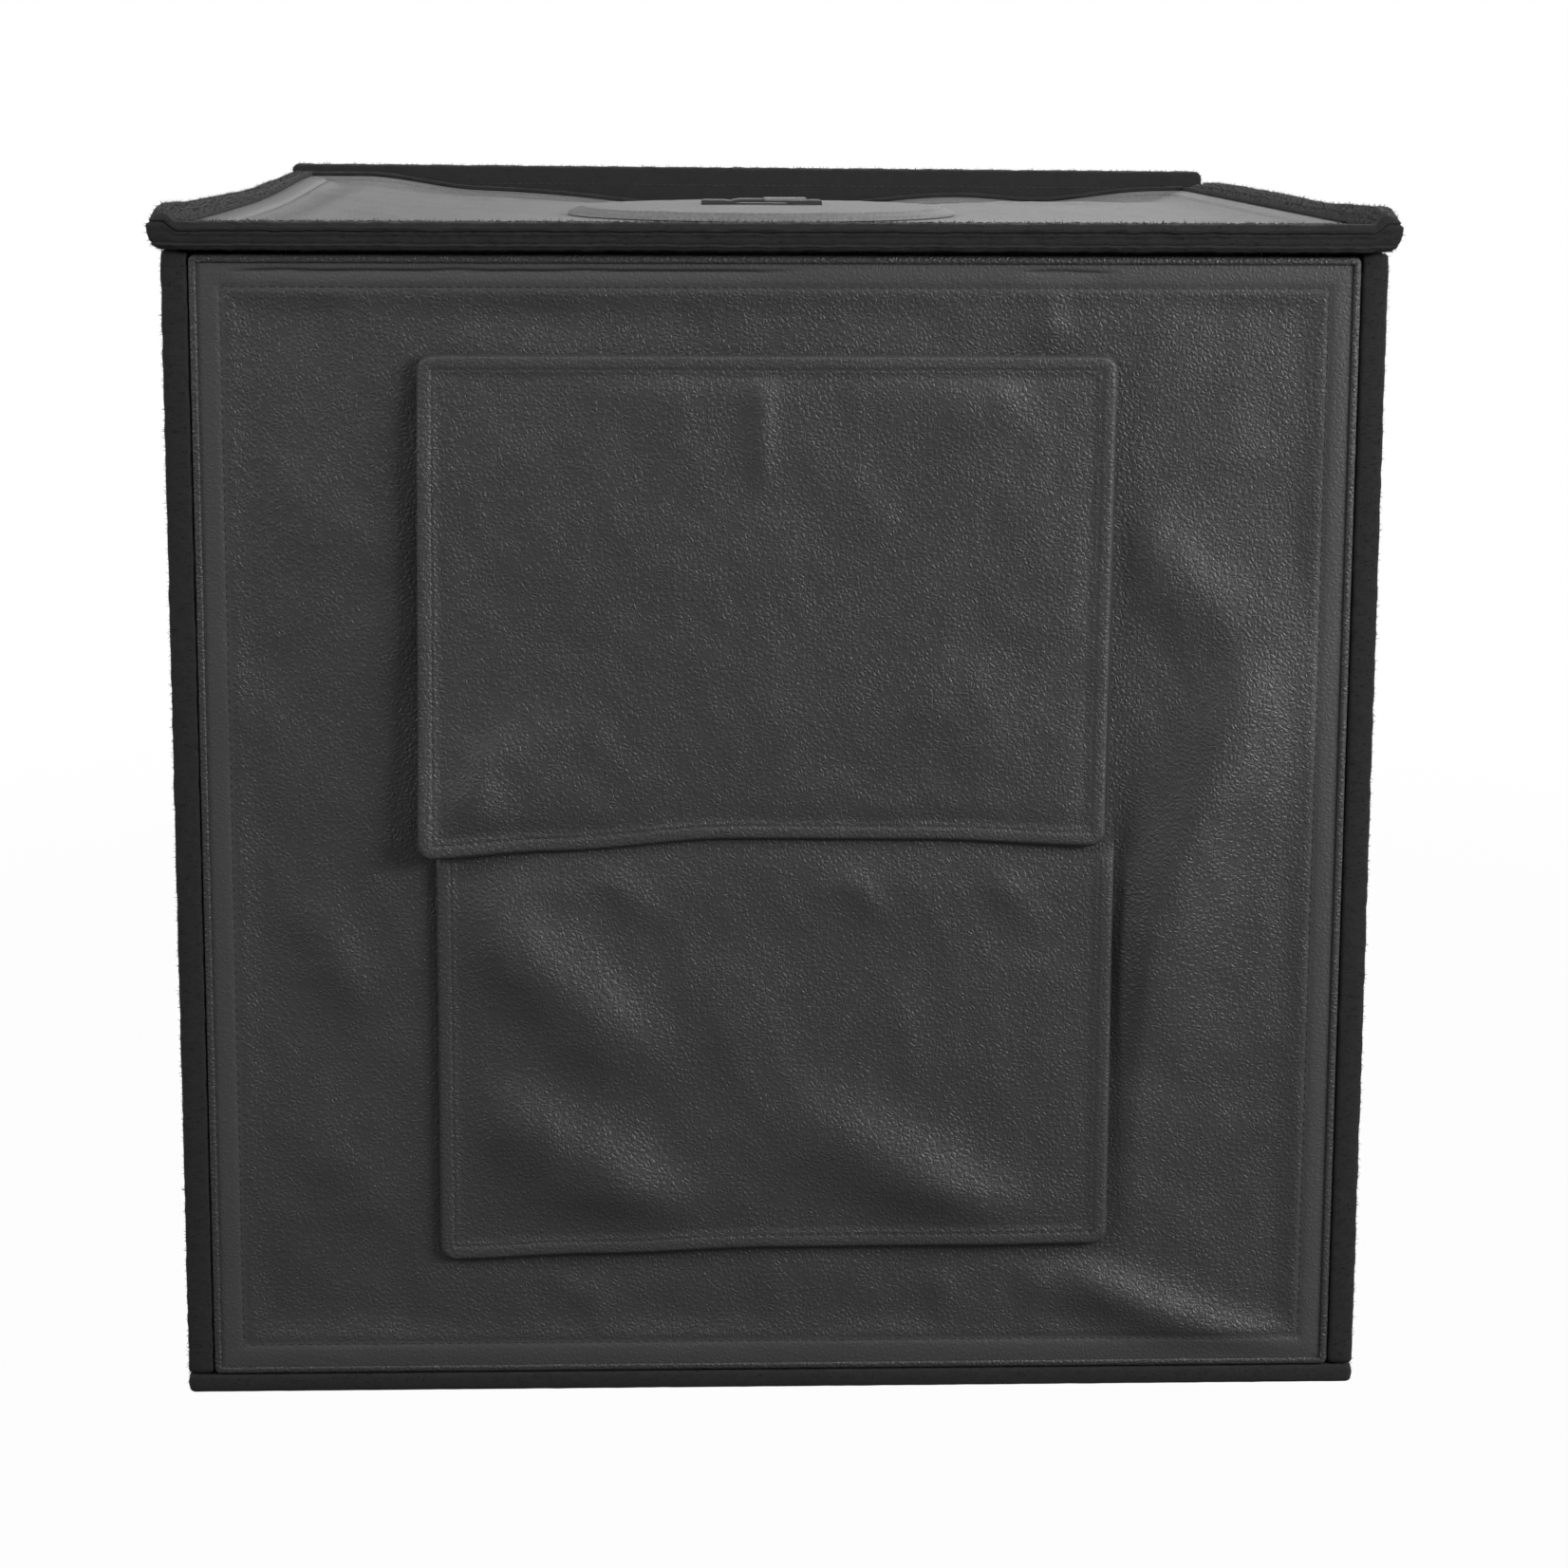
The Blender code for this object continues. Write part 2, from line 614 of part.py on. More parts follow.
def build_rear_wall():
    """The rear wall, hinged on the base's rear edge. It carries the roof, the hanger tape and an eyelet."""
    place = frame_matrix((-1, 0, 0), (0, 0, 1), (0, TENT_DEPTH / 2, HINGE_LEVEL))
    hinge = empty("rear_wall_hinge", place=place)
    rear = Panel("rear_wall", hinge, TENT_WIDTH, REAR_HEIGHT, WALL_THICKNESS, WALL_BINDING, WALL_LEG)
    hole_u = rear.left + EYELET_FROM_SIDE
    hole_v = rear.height - EYELET_FROM_TOP
    hole_sides = 8
    hole_radius = (EYELET_BORE + EYELET_METAL + LAYER_GAP) / math.cos(math.pi / hole_sides)
    stops = (-EYELET_REACH, -hole_radius, 0, hole_radius, EYELET_REACH)

    def in_hole(u, v):
        return max(abs(u - hole_u), abs(v - hole_v)) < hole_radius

    def rounded(u, v):
        return onto_circle(u, v, hole_u, hole_v, hole_radius, EYELET_REACH)

    add_plain_layers(
        rear, WALL_FOLD_SHARES, [hole_u + stop for stop in stops], [hole_v + stop for stop in stops],
        in_hole, rounded, REAR_INNER_LEG,
    )
    high = rear.cover_field + LAYER_GAP + EYELET_METAL
    low = rear.inner_face - LAYER_GAP - EYELET_METAL
    profile = (
        (EYELET_BORE, low), (EYELET_FLANGE, low), (EYELET_FLANGE, low + EYELET_METAL),
        (EYELET_BORE + EYELET_METAL, low + EYELET_METAL), (EYELET_BORE + EYELET_METAL, high - EYELET_METAL),
        (EYELET_FLANGE, high - EYELET_METAL), (EYELET_FLANGE, high), (EYELET_BORE, high),
    )
    eyelet_steps = 16
    centre = Matrix.Translation((hole_u, hole_v, 0))
    add_lathe("lead_eyelet", profile, eyelet_steps, "eyelet_nickel", hinge, centre)
    half = HANGER_LENGTH / 2
    high = rear.height - HANGER_FROM_TOP
    face = rear.inner_face - LAYER_GAP
    add_box(
        "backdrop_hanger_tape", (-half, high - HANGER_WIDTH, face - HANGER_THICKNESS),
        (half, high, face), "black_tape", hinge,
    )
    return hinge, rear


def build_backdrop(rear):
    """A white sheet that hangs from the hanger tape and sweeps forward over the base's lining."""
    lie = BASE_THICKNESS + LAYER_GAP
    back = TENT_DEPTH / 2 + rear.inner_face - 2 * LAYER_GAP - HANGER_THICKNESS
    top = HINGE_LEVEL + rear.height - HANGER_FROM_TOP - BACKDROP_TOP_ROOM
    front = -TENT_DEPTH / 2 + BACKDROP_FRONT_ROOM
    radius = BACKDROP_BEND
    line = [Vector((0, back, top)), Vector((0, back, (top + lie + radius) / 2))]
    for step in range(BACKDROP_STEPS + 1):
        angle = math.pi / 2 * step / BACKDROP_STEPS
        y = back - radius + radius * math.cos(angle)
        line.append(Vector((0, y, lie + radius - radius * math.sin(angle))))
    line.append(Vector((0, (back - radius + front) / 2, lie)))
    line.append(Vector((0, front, lie)))
    bm = bmesh.new()
    rows = []
    for k, here in enumerate(line):
        run = (line[min(k + 1, len(line) - 1)] - line[max(k - 1, 0)]).normalized()
        inward = Vector((0, run.z, -run.y))
        rows.append([
            bm.verts.new(here + inward * depth + Vector((side * BACKDROP_WIDTH / 2, 0, 0)))
            for side, depth in ((-1, 0), (1, 0), (1, BACKDROP_SHEET), (-1, BACKDROP_SHEET))
        ])
    for here, there in zip(rows, rows[1:]):
        for k in range(len(here)):
            after = (k + 1) % len(here)
            bm.faces.new((here[k], here[after], there[after], there[k]))
    bm.faces.new(rows[0])
    bm.faces.new(reversed(rows[-1]))
    add_solid("backdrop", bm, "white_backdrop", None, smooth=True)


def build_door():
    """The drop-down door with its window."""
    place = frame_matrix((1, 0, 0), (0, 0, 1), (0, -TENT_DEPTH / 2, HINGE_LEVEL))
    hinge = empty("front_door_hinge", place=place)
    door = Panel("front_door", hinge, DOOR_WIDTH, DOOR_HEIGHT, DOOR_THICKNESS, DOOR_BINDING, DOOR_LEG)
    left, right = -WINDOW_WIDTH / 2, WINDOW_WIDTH / 2
    bottom, top = WINDOW_BOTTOM, WINDOW_BOTTOM + WINDOW_HEIGHT

    def in_window(u, v):
        return edge_inset(u, v, left, right, bottom, top) > 0

    def away_from_window(u, v):
        outside = -edge_inset(u, v, left, right, bottom, top)
        return smooth_step((outside - WINDOW_CALM) / WINDOW_CALM)

    def cover_level(u, v):
        lift = fold_relief(u, v, door.left, 0, door.width, door.height, DOOR_FOLD_SHARES)
        return door.cover_level(u, v) + lift * door.calm(u, v) * away_from_window(u, v)

    calm = WINDOW_CALM
    extra_us = (left - calm, left, right, right + calm)
    extra_vs = (bottom - calm, bottom, top, top + calm)
    add_cloth(
        "front_door_cover", door.us(WIDEST_CELL, extra_us), door.vs(WIDEST_CELL, extra_vs), cover_level,
        COVER_CLOTH, "black_leathercloth", hinge, in_window,
    )
    widest = max(door.width, door.height)
    add_cloth(
        "front_door_lining", door.us(widest, (left, right)), door.vs(widest, (bottom, top)),
        door.lining_level, LINING_CLOTH, "silver_lining", hinge, in_window,
    )
    door.add_rod(DOOR_ROD, "steel_rod")
    door.add_binding("black_leathercloth")

    # The window's edge tape folds round the cover and the lining.
    high = door.cover_field + LAYER_GAP + WINDOW_BINDING
    low = door.inner_face - LAYER_GAP - WINDOW_BINDING
    web = WINDOW_BINDING
    legs = -LAYER_GAP - WINDOW_LEG
    section = (
        (web, high), (legs, high), (legs, high - web), (LAYER_GAP, high - web),
        (LAYER_GAP, low + web), (legs, low + web), (legs, low), (web, low),
    )
    add_channel("window_edge_tape", (left, right, bottom, top), section, "black_binding", hinge)

    # Loop tapes beside the window hold the flaps' hook edges.
    tape_inner = right + LAYER_GAP + WINDOW_LEG + LAYER_GAP
    tape_low = door.cover_field + LAYER_GAP
    tape_high = tape_low + WINDOW_TAPE_THICKNESS
    for side, name in ((-1, "window_tape_left"), (1, "window_tape_right")):
        near, far = side * tape_inner, side * (tape_inner + WINDOW_TAPE_WIDTH)
        add_box(
            name, (min(near, far), bottom, tape_low), (max(near, far), top, tape_high), "black_tape", hinge,
        )

    # Hook tapes on the door's back, in front of the side walls' flanges.
    tape_face = -door.thickness - LAYER_GAP
    tape_edge = door.right - LAYER_GAP
    for side, name in ((-1, "door_hook_tape_left"), (1, "door_hook_tape_right")):
        near, far = side * tape_edge, side * (tape_edge - DOOR_TAPE_WIDTH)
        add_box(
            name, (min(near, far), DOOR_TAPE_END_ROOM, tape_face - DOOR_TAPE_THICKNESS),
            (max(near, far), door.height - DOOR_TAPE_END_ROOM, tape_face), "black_tape", hinge,
        )
    return hinge, door


def add_flap(name, hinge, width, low, high, seat, folds):
    """A flap's cloth between v = low and v = high in the hinge's frame, with its inner face at n = seat."""
    left, right = -width / 2, width / 2

    def rounded(u, v):
        return onto_rounded_corners(u, v, left, right, low, high, FLAP_CORNER)

    def outer(u, v):
        inset = edge_inset(u, v, left, right, low, high)
        hem = FLAP_HEM_RISE * (1 - smooth_step((inset - FLAP_HEM) / FLAP_HEM_RISE))
        calm = smooth_step((inset - FLAP_HEM) / HEM_WIDTH)
        return seat + FLAP_CLOTH + hem + calm * fold_relief(u, v, left, low, width, high - low, folds)

    stops = (0, FLAP_CORNER / 2, FLAP_CORNER, FLAP_CORNER + FLAP_HEM_RISE)
    us = grid_lines([left + stop for stop in stops] + [right - stop for stop in stops], FLAP_CELL)
    vs = grid_lines([low + stop for stop in stops] + [high - stop for stop in stops], FLAP_CELL)
    add_cloth(name, us, vs, outer, FLAP_CLOTH, "black_leathercloth", hinge, shape=rounded)


def build_flaps(door_hinge, door):
    """The two flaps over the window: the upper one is sewn along its top, the lower one along its bottom.

    The upper flap turns about its inner face and the lower one about its outer face, so both lie shut."""
    seat = door.cover_field + LAYER_GAP + WINDOW_TAPE_THICKNESS + LAYER_GAP
    lower_low = WINDOW_BOTTOM - LOWER_FLAP_BELOW_WINDOW
    upper_high = WINDOW_BOTTOM + WINDOW_HEIGHT + FLAP_TOP_ROOM
    upper_low = upper_high - UPPER_FLAP_HEIGHT
    lower_high = upper_low - FLAP_MEETING_GAP

    upper_level = seat + UPPER_FLAP_LIFT
    upper = empty("upper_flap_hinge", door_hinge, Matrix.Translation((0, upper_high, upper_level)))
    add_flap("upper_flap", upper, UPPER_FLAP_WIDTH, -UPPER_FLAP_HEIGHT, 0, 0, UPPER_FLAP_FOLD_SHARES)
    hem = FLAP_CLOTH + FLAP_HEM_RISE
    height = lower_high - lower_low
    lower = empty("lower_flap_hinge", door_hinge, Matrix.Translation((0, lower_low, seat + hem)))
    add_flap("lower_flap", lower, LOWER_FLAP_WIDTH, 0, height, -hem, LOWER_FLAP_FOLD_SHARES)

    # A folded seam allowance under each sewn edge fills the room between the flap and the door.
    seams = (
        ("upper_flap_seam", upper_high - FLAP_SEAM_INSET - FLAP_SEAM_WIDTH, UPPER_FLAP_WIDTH, upper_level),
        ("lower_flap_seam", lower_low + FLAP_SEAM_INSET, LOWER_FLAP_WIDTH, seat),
    )
    base = door.cover_field + LAYER_GAP
    for name, low, width, level in seams:
        reach = width / 2 - FLAP_CORNER
        high = low + FLAP_SEAM_WIDTH
        add_box(name, (-reach, low, base), (reach, high, level - LAYER_GAP), "black_tape", door_hinge)


def roof_sag(u, v):
    """How far the roof hangs down: most in the middle of the rear edge, and alike across the rear hem."""
    past_hem = max(v - WALL_LEG - HEM_WIDTH, 0)
    return REAR_SAG * math.exp(-((u / SAG_HALF_WIDTH) ** 2) - (past_hem / SAG_REACH) ** 2)


def sagging(u, v, n):
    return u, v, n - roof_sag(u, v)


def build_roof(rear_hinge, rear):
    """The roof, hinged on the rear wall, with its round window."""
    hinge_v = ROOF_TOP - HINGE_LEVEL
    rear_inner = -rear.thickness - PANEL_GAP
    place = frame_matrix((1, 0, 0), (0, 0, -1), (0, hinge_v, rear_inner))
    hinge = empty("roof_hinge", rear_hinge, place)
    roof = Panel(
        "roof", hinge, ROOF_WIDTH, ROOF_DEPTH, ROOF_THICKNESS, ROOF_BINDING, WALL_LEG, ROOF_FIELD_DROP,
        ROOF_SLOPE,
    )
    centre_v = ROOF_CENTRE
    radius, reach = ROOF_WINDOW_RADIUS, ROOF_WINDOW_REACH

    def in_window(u, v):
        return max(abs(u), abs(v - centre_v)) < radius

    def rounded(u, v):
        return onto_circle(u, v, 0, centre_v, radius, reach)

    extra_us = (-reach, -radius, -radius / 2, 0, radius / 2, radius, reach)
    extra_vs = [centre_v + stop for stop in extra_us]
    us = roof.us(WIDEST_CELL, extra_us)
    vs = roof.vs(WIDEST_CELL, extra_vs)
    add_cloth(
        "roof_cover", us, vs, lambda u, v: roof.cover_level(u, v) - roof_sag(u, v), COVER_CLOTH,
        "grey_roof_cloth", hinge, in_window, rounded,
    )
    add_cloth(
        "roof_lining", us, vs, lambda u, v: roof.lining_level(u, v) - roof_sag(u, v), LINING_CLOTH,
        "silver_lining", hinge, in_window, rounded,
    )
    stations = [u for u in us if roof.left + roof.hem_end < u < roof.right - roof.hem_end]
    roof.add_rod(WALL_ROD, "steel_rod", sagging, stations)
    roof.add_binding("black_binding", sagging, stations)

    # A flat ring stiffens the window's edge under the hatch.
    ring_low = roof.cover_field + LAYER_GAP
    ring_high = ring_low + ROOF_RING_THICKNESS
    inner, outer = radius, radius + ROOF_RING_WIDTH
    ring_steps = 32
    add_lathe(
        "roof_window_ring", ((inner, ring_low), (outer, ring_low), (outer, ring_high), (inner, ring_high)),
        ring_steps, "black_binding", hinge, Matrix.Translation((0, centre_v, 0)),
    )
    return hinge, roof, ring_high + LAYER_GAP


def build_hatch(roof_hinge, seat):
    """The round hatch over the roof's window, hinged at its rear edge, with a webbing pull loop."""
    hinge_v = ROOF_CENTRE - HATCH_RADIUS
    hatch = empty("hatch_hinge", roof_hinge, Matrix.Translation((0, hinge_v, seat)))
    radius = HATCH_RADIUS
    lines = [radius * (2 * step / HATCH_CELLS - 1) for step in range(HATCH_CELLS + 1)]

    def rounded(u, v):
        return onto_circle(u, v, 0, radius, radius, 2 * radius)

    def outer(u, v):
        from_centre = math.hypot(u, v - radius) / radius
        return HATCH_CLOTH + HATCH_CROWN * (1 - smooth_step(from_centre))

    add_cloth(
        "hatch_cloth", lines, [radius + line for line in lines], outer, HATCH_CLOTH, "grey_roof_cloth",
        hatch, shape=rounded,
    )
    top = HATCH_CLOTH + HATCH_CROWN + LAYER_GAP
    half = LOOP_LENGTH / 2
    rising = LOOP_FOOT / 2
    us = grid_lines((-half, -half + LOOP_FOOT, -half + LOOP_FOOT + rising, half - LOOP_FOOT - rising,
                     half - LOOP_FOOT, half), LOOP_LENGTH / 4)

    def loop_level(u, v):
        rise = smooth_step((half - abs(u) - LOOP_FOOT) / rising)
        return top + LOOP_WEB + LOOP_RISE * rise

    add_cloth(
        "hatch_pull_loop", us, (radius - LOOP_WIDTH / 2, radius + LOOP_WIDTH / 2), loop_level, LOOP_WEB,
        "black_tape", hatch,
    )
    return hatch


def add_light_bar(name, parent, middle_v, top):
    """A light bar across the roof: mounting tape, channel, light board, diffuser and two end caps."""
    tape_low = top - BAR_TAPE_THICKNESS
    add_box(
        name + "_mounting_tape", (-BAR_TAPE_LENGTH / 2, middle_v - BAR_TAPE_WIDTH / 2, tape_low),
        (BAR_TAPE_LENGTH / 2, middle_v + BAR_TAPE_WIDTH / 2, top), "black_tape", parent,
    )
    high = tape_low - LAYER_GAP
    low = high - BAR_HEIGHT
    half = BAR_WIDTH / 2
    wall = BAR_WALL
    outline = (
        (-half, high), (half, high), (half, low), (half - wall, low),
        (half - wall, high - wall), (wall - half, high - wall), (wall - half, low), (-half, low),
    )
    bm = bmesh.new()
    ends = []
    for u in (-BAR_LENGTH / 2, BAR_LENGTH / 2):
        ends.append([bm.verts.new((u, middle_v + v, n)) for v, n in outline])
    for k in range(len(outline)):
        after = (k + 1) % len(outline)
        bm.faces.new((ends[0][k], ends[0][after], ends[1][after], ends[1][k]))
    bm.faces.new(ends[0])
    bm.faces.new(reversed(ends[1]))
    add_solid(name + "_channel", bm, "bar_aluminium", parent)

    inside = half - wall - LAYER_GAP
    board_high = high - wall - LAYER_GAP
    board_low = board_high - LIGHT_BOARD
    board_us = [-BAR_LENGTH / 2]
    pitch = BAR_LENGTH / LIGHT_CHIPS
    for chip in range(LIGHT_CHIPS):
        middle = -BAR_LENGTH / 2 + pitch * (chip + 1 / 2)
        board_us += [middle - LIGHT_CHIP / 2, middle + LIGHT_CHIP / 2]
    board_us.append(BAR_LENGTH / 2)
    add_light_board(name + "_light_board", board_us, middle_v, inside, board_high, board_low, parent)
    add_box(
        name + "_diffuser", (-BAR_LENGTH / 2, middle_v - inside, low),
        (BAR_LENGTH / 2, middle_v + inside, low + DIFFUSER), "bar_diffuser", parent,
    )
    for side, end in ((-1, "left"), (1, "right")):
        near = side * (BAR_LENGTH / 2 + LAYER_GAP)
        far = near + side * CAP_THICKNESS
        add_box(
            f"{name}_cap_{end}", (min(near, far), middle_v - half, low),
            (max(near, far), middle_v + half, high), "black_plastic", parent,
        )
    return (high + low) / 2


def add_light_board(name, us, middle_v, half_width, high, low, parent):
    """The board with its row of square light chips raised from the lower face."""
    chip = LIGHT_CHIP / 2
    vs = (-half_width, -chip, chip, half_width)
    bm = bmesh.new()
    for j, (v0, v1) in enumerate(zip(vs, vs[1:])):
        for i, (u0, u1) in enumerate(zip(us, us[1:])):
            raised = j == 1 and i % 2 == 1
            face = low - LIGHT_CHIP_HEIGHT if raised else low
            corners = ((u0, v0), (u1, v0), (u1, v1), (u0, v1))
            bm.faces.new([bm.verts.new((u, middle_v + v, high)) for u, v in corners])
            bm.faces.new([bm.verts.new((u, middle_v + v, face)) for u, v in reversed(corners)])
            for a, b in zip(corners, corners[1:] + corners[:1]):
                at_end = a[0] == b[0] and a[0] in (us[0], us[-1])
                at_side = a[1] == b[1] and a[1] in (vs[0], vs[-1])
                if raised:
                    wall = (a, low), (b, low), (b, face), (a, face)
                elif at_end or at_side:
                    wall = (a, high), (b, high), (b, low), (a, low)
                else:
                    continue
                bm.faces.new([bm.verts.new((p[0], middle_v + p[1], n)) for p, n in wall])
    add_solid(name, bm, "light_board", parent)


def build_lights(roof_hinge, roof):
    """Two light bars, the lead that links them and the socket for the supply lead."""
    top = roof.inner_face - LAYER_GAP
    front_v = ROOF_CENTRE + BAR_OFFSET
    rear_v = ROOF_CENTRE - BAR_OFFSET
    level = add_light_bar("front_light", roof_hinge, front_v, top)
    add_light_bar("rear_light", roof_hinge, rear_v, top)
    cap_face = BAR_LENGTH / 2 + LAYER_GAP + CAP_THICKNESS + LAYER_GAP

    # The link lead leaves both right-hand caps, bends outwards and droops a little between them.
    start = Vector((cap_face, front_v, level))
    end = Vector((cap_face, rear_v, level))
    points = [start, start + Vector((LINK_STEM, 0, 0))]
    link_steps = 14
    for step in range(1, link_steps):
        share = step / link_steps
        bow = math.sin(math.pi * share)
        away = LINK_STEM + LINK_BULGE * math.sqrt(bow)
        points.append(start.lerp(end, share) + Vector((away, 0, -LINK_DROP * bow)))
    points += [end + Vector((LINK_STEM, 0, 0)), end]
    add_tube("light_link_lead", points, LINK_DIAMETER, False, "black_plastic", roof_hinge)

    turn = Matrix.Rotation(-math.pi / 2, 4, "Y")
    place = Matrix.Translation((-cap_face, rear_v, level)) @ turn
    profile_steps = 12
    closed_end = LAYER_GAP / 10
    profile = (
        (closed_end, 0), (JACK_RADIUS, 0), (JACK_RADIUS, JACK_LENGTH), (JACK_BORE, JACK_LENGTH),
        (JACK_BORE, JACK_LENGTH - JACK_BORE_DEPTH), (closed_end, JACK_LENGTH - JACK_BORE_DEPTH),
    )
    add_lathe("supply_socket", profile, profile_steps, "black_plastic", roof_hinge, place)


def centre_on_origin():
    """Moves the tent along Y so that the middle of its whole depth is at the origin."""
    bpy.context.view_layer.update()
    depths = []
    for obj in bpy.data.objects:
        if obj.type != "EMPTY":
            depths += [(obj.matrix_world @ Vector(corner)).y for corner in obj.bound_box]
    for obj in bpy.data.objects:
        if not obj.parent:
            obj.location.y -= (min(depths) + max(depths)) / 2


def main():
    clear_scene()
    build_base()
    build_side_wall(-1, "left_wall")
    build_side_wall(1, "right_wall")
    rear_hinge, rear = build_rear_wall()
    build_backdrop(rear)
    door_hinge, door = build_door()
    build_flaps(door_hinge, door)
    roof_hinge, roof, hatch_seat = build_roof(rear_hinge, rear)
    build_hatch(roof_hinge, hatch_seat)
    build_lights(roof_hinge, roof)
    centre_on_origin()


main()
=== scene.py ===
"""The looks of a folding light tent: grained cloth, sewn edges, silver linings, flaps and light bars."""

import functools
import math

import bmesh
import bpy
from mathutils import Matrix, Vector, noise


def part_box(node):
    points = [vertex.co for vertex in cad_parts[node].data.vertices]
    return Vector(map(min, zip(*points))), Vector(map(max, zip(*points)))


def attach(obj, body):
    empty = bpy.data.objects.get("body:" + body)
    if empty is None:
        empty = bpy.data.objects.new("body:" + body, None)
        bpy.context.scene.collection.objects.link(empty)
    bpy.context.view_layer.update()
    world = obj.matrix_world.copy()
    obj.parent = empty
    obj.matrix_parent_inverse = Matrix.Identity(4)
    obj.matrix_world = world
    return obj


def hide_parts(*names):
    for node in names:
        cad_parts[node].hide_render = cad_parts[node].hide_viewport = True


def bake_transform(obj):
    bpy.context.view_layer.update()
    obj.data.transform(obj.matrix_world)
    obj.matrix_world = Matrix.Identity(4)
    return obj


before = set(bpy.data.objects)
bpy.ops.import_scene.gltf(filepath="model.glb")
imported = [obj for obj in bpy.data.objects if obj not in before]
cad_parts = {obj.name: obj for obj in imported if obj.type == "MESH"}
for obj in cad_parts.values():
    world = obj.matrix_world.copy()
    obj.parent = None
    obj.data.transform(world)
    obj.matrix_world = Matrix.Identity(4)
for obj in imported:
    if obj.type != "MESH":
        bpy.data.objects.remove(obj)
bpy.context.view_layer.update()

bl_info = {
    "name": "Light tent cube",
    "version": (1, 0, 0),
    "blender": (4, 5, 0),
    "location": "3D View > Sidebar > Light tent",
    "description": "Makes the cloth, sewing, linings and fittings of a folding light tent",
    "category": "Add Mesh",
}

MM = 0.001

# Cloths, gaps and the widths of the sewn edges, as the solids have them
GAP = 0.3 * MM
PANEL_GAP = 0.4 * MM
COVER_CLOTH = 0.9 * MM
LINING_CLOTH = 0.5 * MM
FIELD_SLACK = 1.0 * MM
WALL_BINDING = 1.0 * MM
DOOR_BINDING = 0.6 * MM
ROOF_BINDING = 1.3 * MM
WALL_LEG = 9 * MM
DOOR_LEG = 2.4 * MM
REAR_INNER_LEG = 26 * MM
HEM_WIDTH = 9 * MM
HEM_SLOPE = 2 * MM
ROOF_SLOPE = 10 * MM
ROOF_DROP = 2.3 * MM
REAR_SAG = 10 * MM
SAG_HALF_WIDTH = 74 * MM
SAG_REACH = 34 * MM
REAR_NARROWING = 4.2 * MM
DRAWN_UP = 5.2 * MM
FLAP_CORNER = 5 * MM
CORNER_STEPS = 5
SAME_PLACE = 1e-6

# Heights and widths of what the sewing does to a cloth
HEM_ROLL = 0.35 * MM
HEM_PUCKER = 0.22 * MM
GROOVE_HALF_WIDTH = 0.9 * MM
GROOVE = 0.25 * MM
ROOF_GROOVE = 0.7 * MM
HATCH_GROOVE = 0.3 * MM
LINING_WAVE = 0.4 * MM

# The camera that the photograph was taken with
CAMERA_PLACE = (-0.0362, -1.2853, 0.4442)
CAMERA_YAW = math.radians(2.03)
CAMERA_PITCH = math.radians(9.35)
CAMERA_ROLL = math.radians(0.25)
CAMERA_LENS = 76.49
CAMERA_SHIFT = -0.10
CAMERA_NEAREST = 0.05
SENSOR_WIDTH = 36

# Soft folds, in millimetres: from (u, v) to (u, v), half width and height
DOOR_FOLDS = (
    (178, 252, 120, 92, -20, 8.5),
    (122, 100, 118, 52, -12, 3.0),
    (96, 40, 192, 0, 8, 3.8),
    (-62, 34, -56, 14, 4, 0.8),
    (-73, 37, -64, 25, 3.4, 0.7),
    (59, 35, 61, 17, 3.2, 0.7),
    (88, 36, 84, 14, 4, 0.9),
    (-153, 169, -134, 130, 7, 1.8),
    (87, 374, 87, 346, 3.4, 0.8),
    (122, 300, 158, 262, 12, 2.4),
    (-163, 314, -124, 286, 10, 0.9),
    (-153, 88, -124, 59, 8, 0.8),
    (150, 330, 128, 300, 9, 0.8),
    (-178, 250, -150, 205, 9, 0.9),
)
UPPER_FLAP_FOLDS = (
    (0, 346, 1, 306, 3, 1.6),
    (-93, 222, -101, 198, 4, 1.6),
    (21, 196, 38, 174, 4.5, 1.5),
    (56, 330, 82, 343, 7, 1.2),
    (-84, 232, -108, 190, 9, 1.8),
    (38, 200, 60, 180, 6, 1.3),
    (-36, 206, -57, 227, 5, 0.7),
    (31, 312, 44, 291, 5, 0.6),
    (-70, 300, -40, 270, 12, 0.7),
    (72, 250, 92, 214, 11, 0.8),
)
LOWER_FLAP_FOLDS = (
    (-98, 172, -36, 116, 13, 4.4),
    (-94, 104, -24, 60, 12, 4.0),
    (14, 100, 96, 48, 12, 4.2),
    (-57, 180, -37, 160, 4, 0.9),
    (25, 180, 38, 160, 4, 0.9),
    (75, 178, 94, 157, 5, 0.9),
    (-20, 150, 0, 120, 12, 0.9),
)
SIDE_FOLDS = (
    (-120, 300, -40, 190, 14, 2.6),
    (30, 330, 110, 230, 12, 2.2),
    (-150, 130, -60, 60, 13, 2.4),
    (20, 150, 150, 70, 15, 2.6),
    (150, 40, 186, 12, 6, 1.0),
)
ROOF_FOLDS = (
    (168, 372, 160, 40, 7, 1.3),
    (150, 332, 30, 318, 9, 1.2),
    (140, 48, 70, 40, 10, 1.6),
    (-60, 330, -150, 300, 9, 1.1),
    (-90, 60, -150, 92, 12, 1.4),
)
REAR_FOLDS = (
    (-150, 320, -60, 240, 15, 2.4),
    (10, 350, 60, 220, 12, 2.2),
    (-130, 180, -30, 60, 15, 2.6),
    (60, 180, 170, 90, 14, 2.6),
    (-180, 60, -120, 16, 7, 1.2),
)


def clamped(value, low=0):
    """The value, kept from low to 1."""
    return min(max(value, low), 1)


def smooth_step(value):
    """0 at and below 0, 1 at and above 1, smooth between."""
    value = clamped(value)
    return value * value * (3 - 2 * value)


def bump_at(value, centre, half_width):
    """1 at the centre, falling to nothing either side."""
    return math.exp(-(((value - centre) / half_width) ** 2))


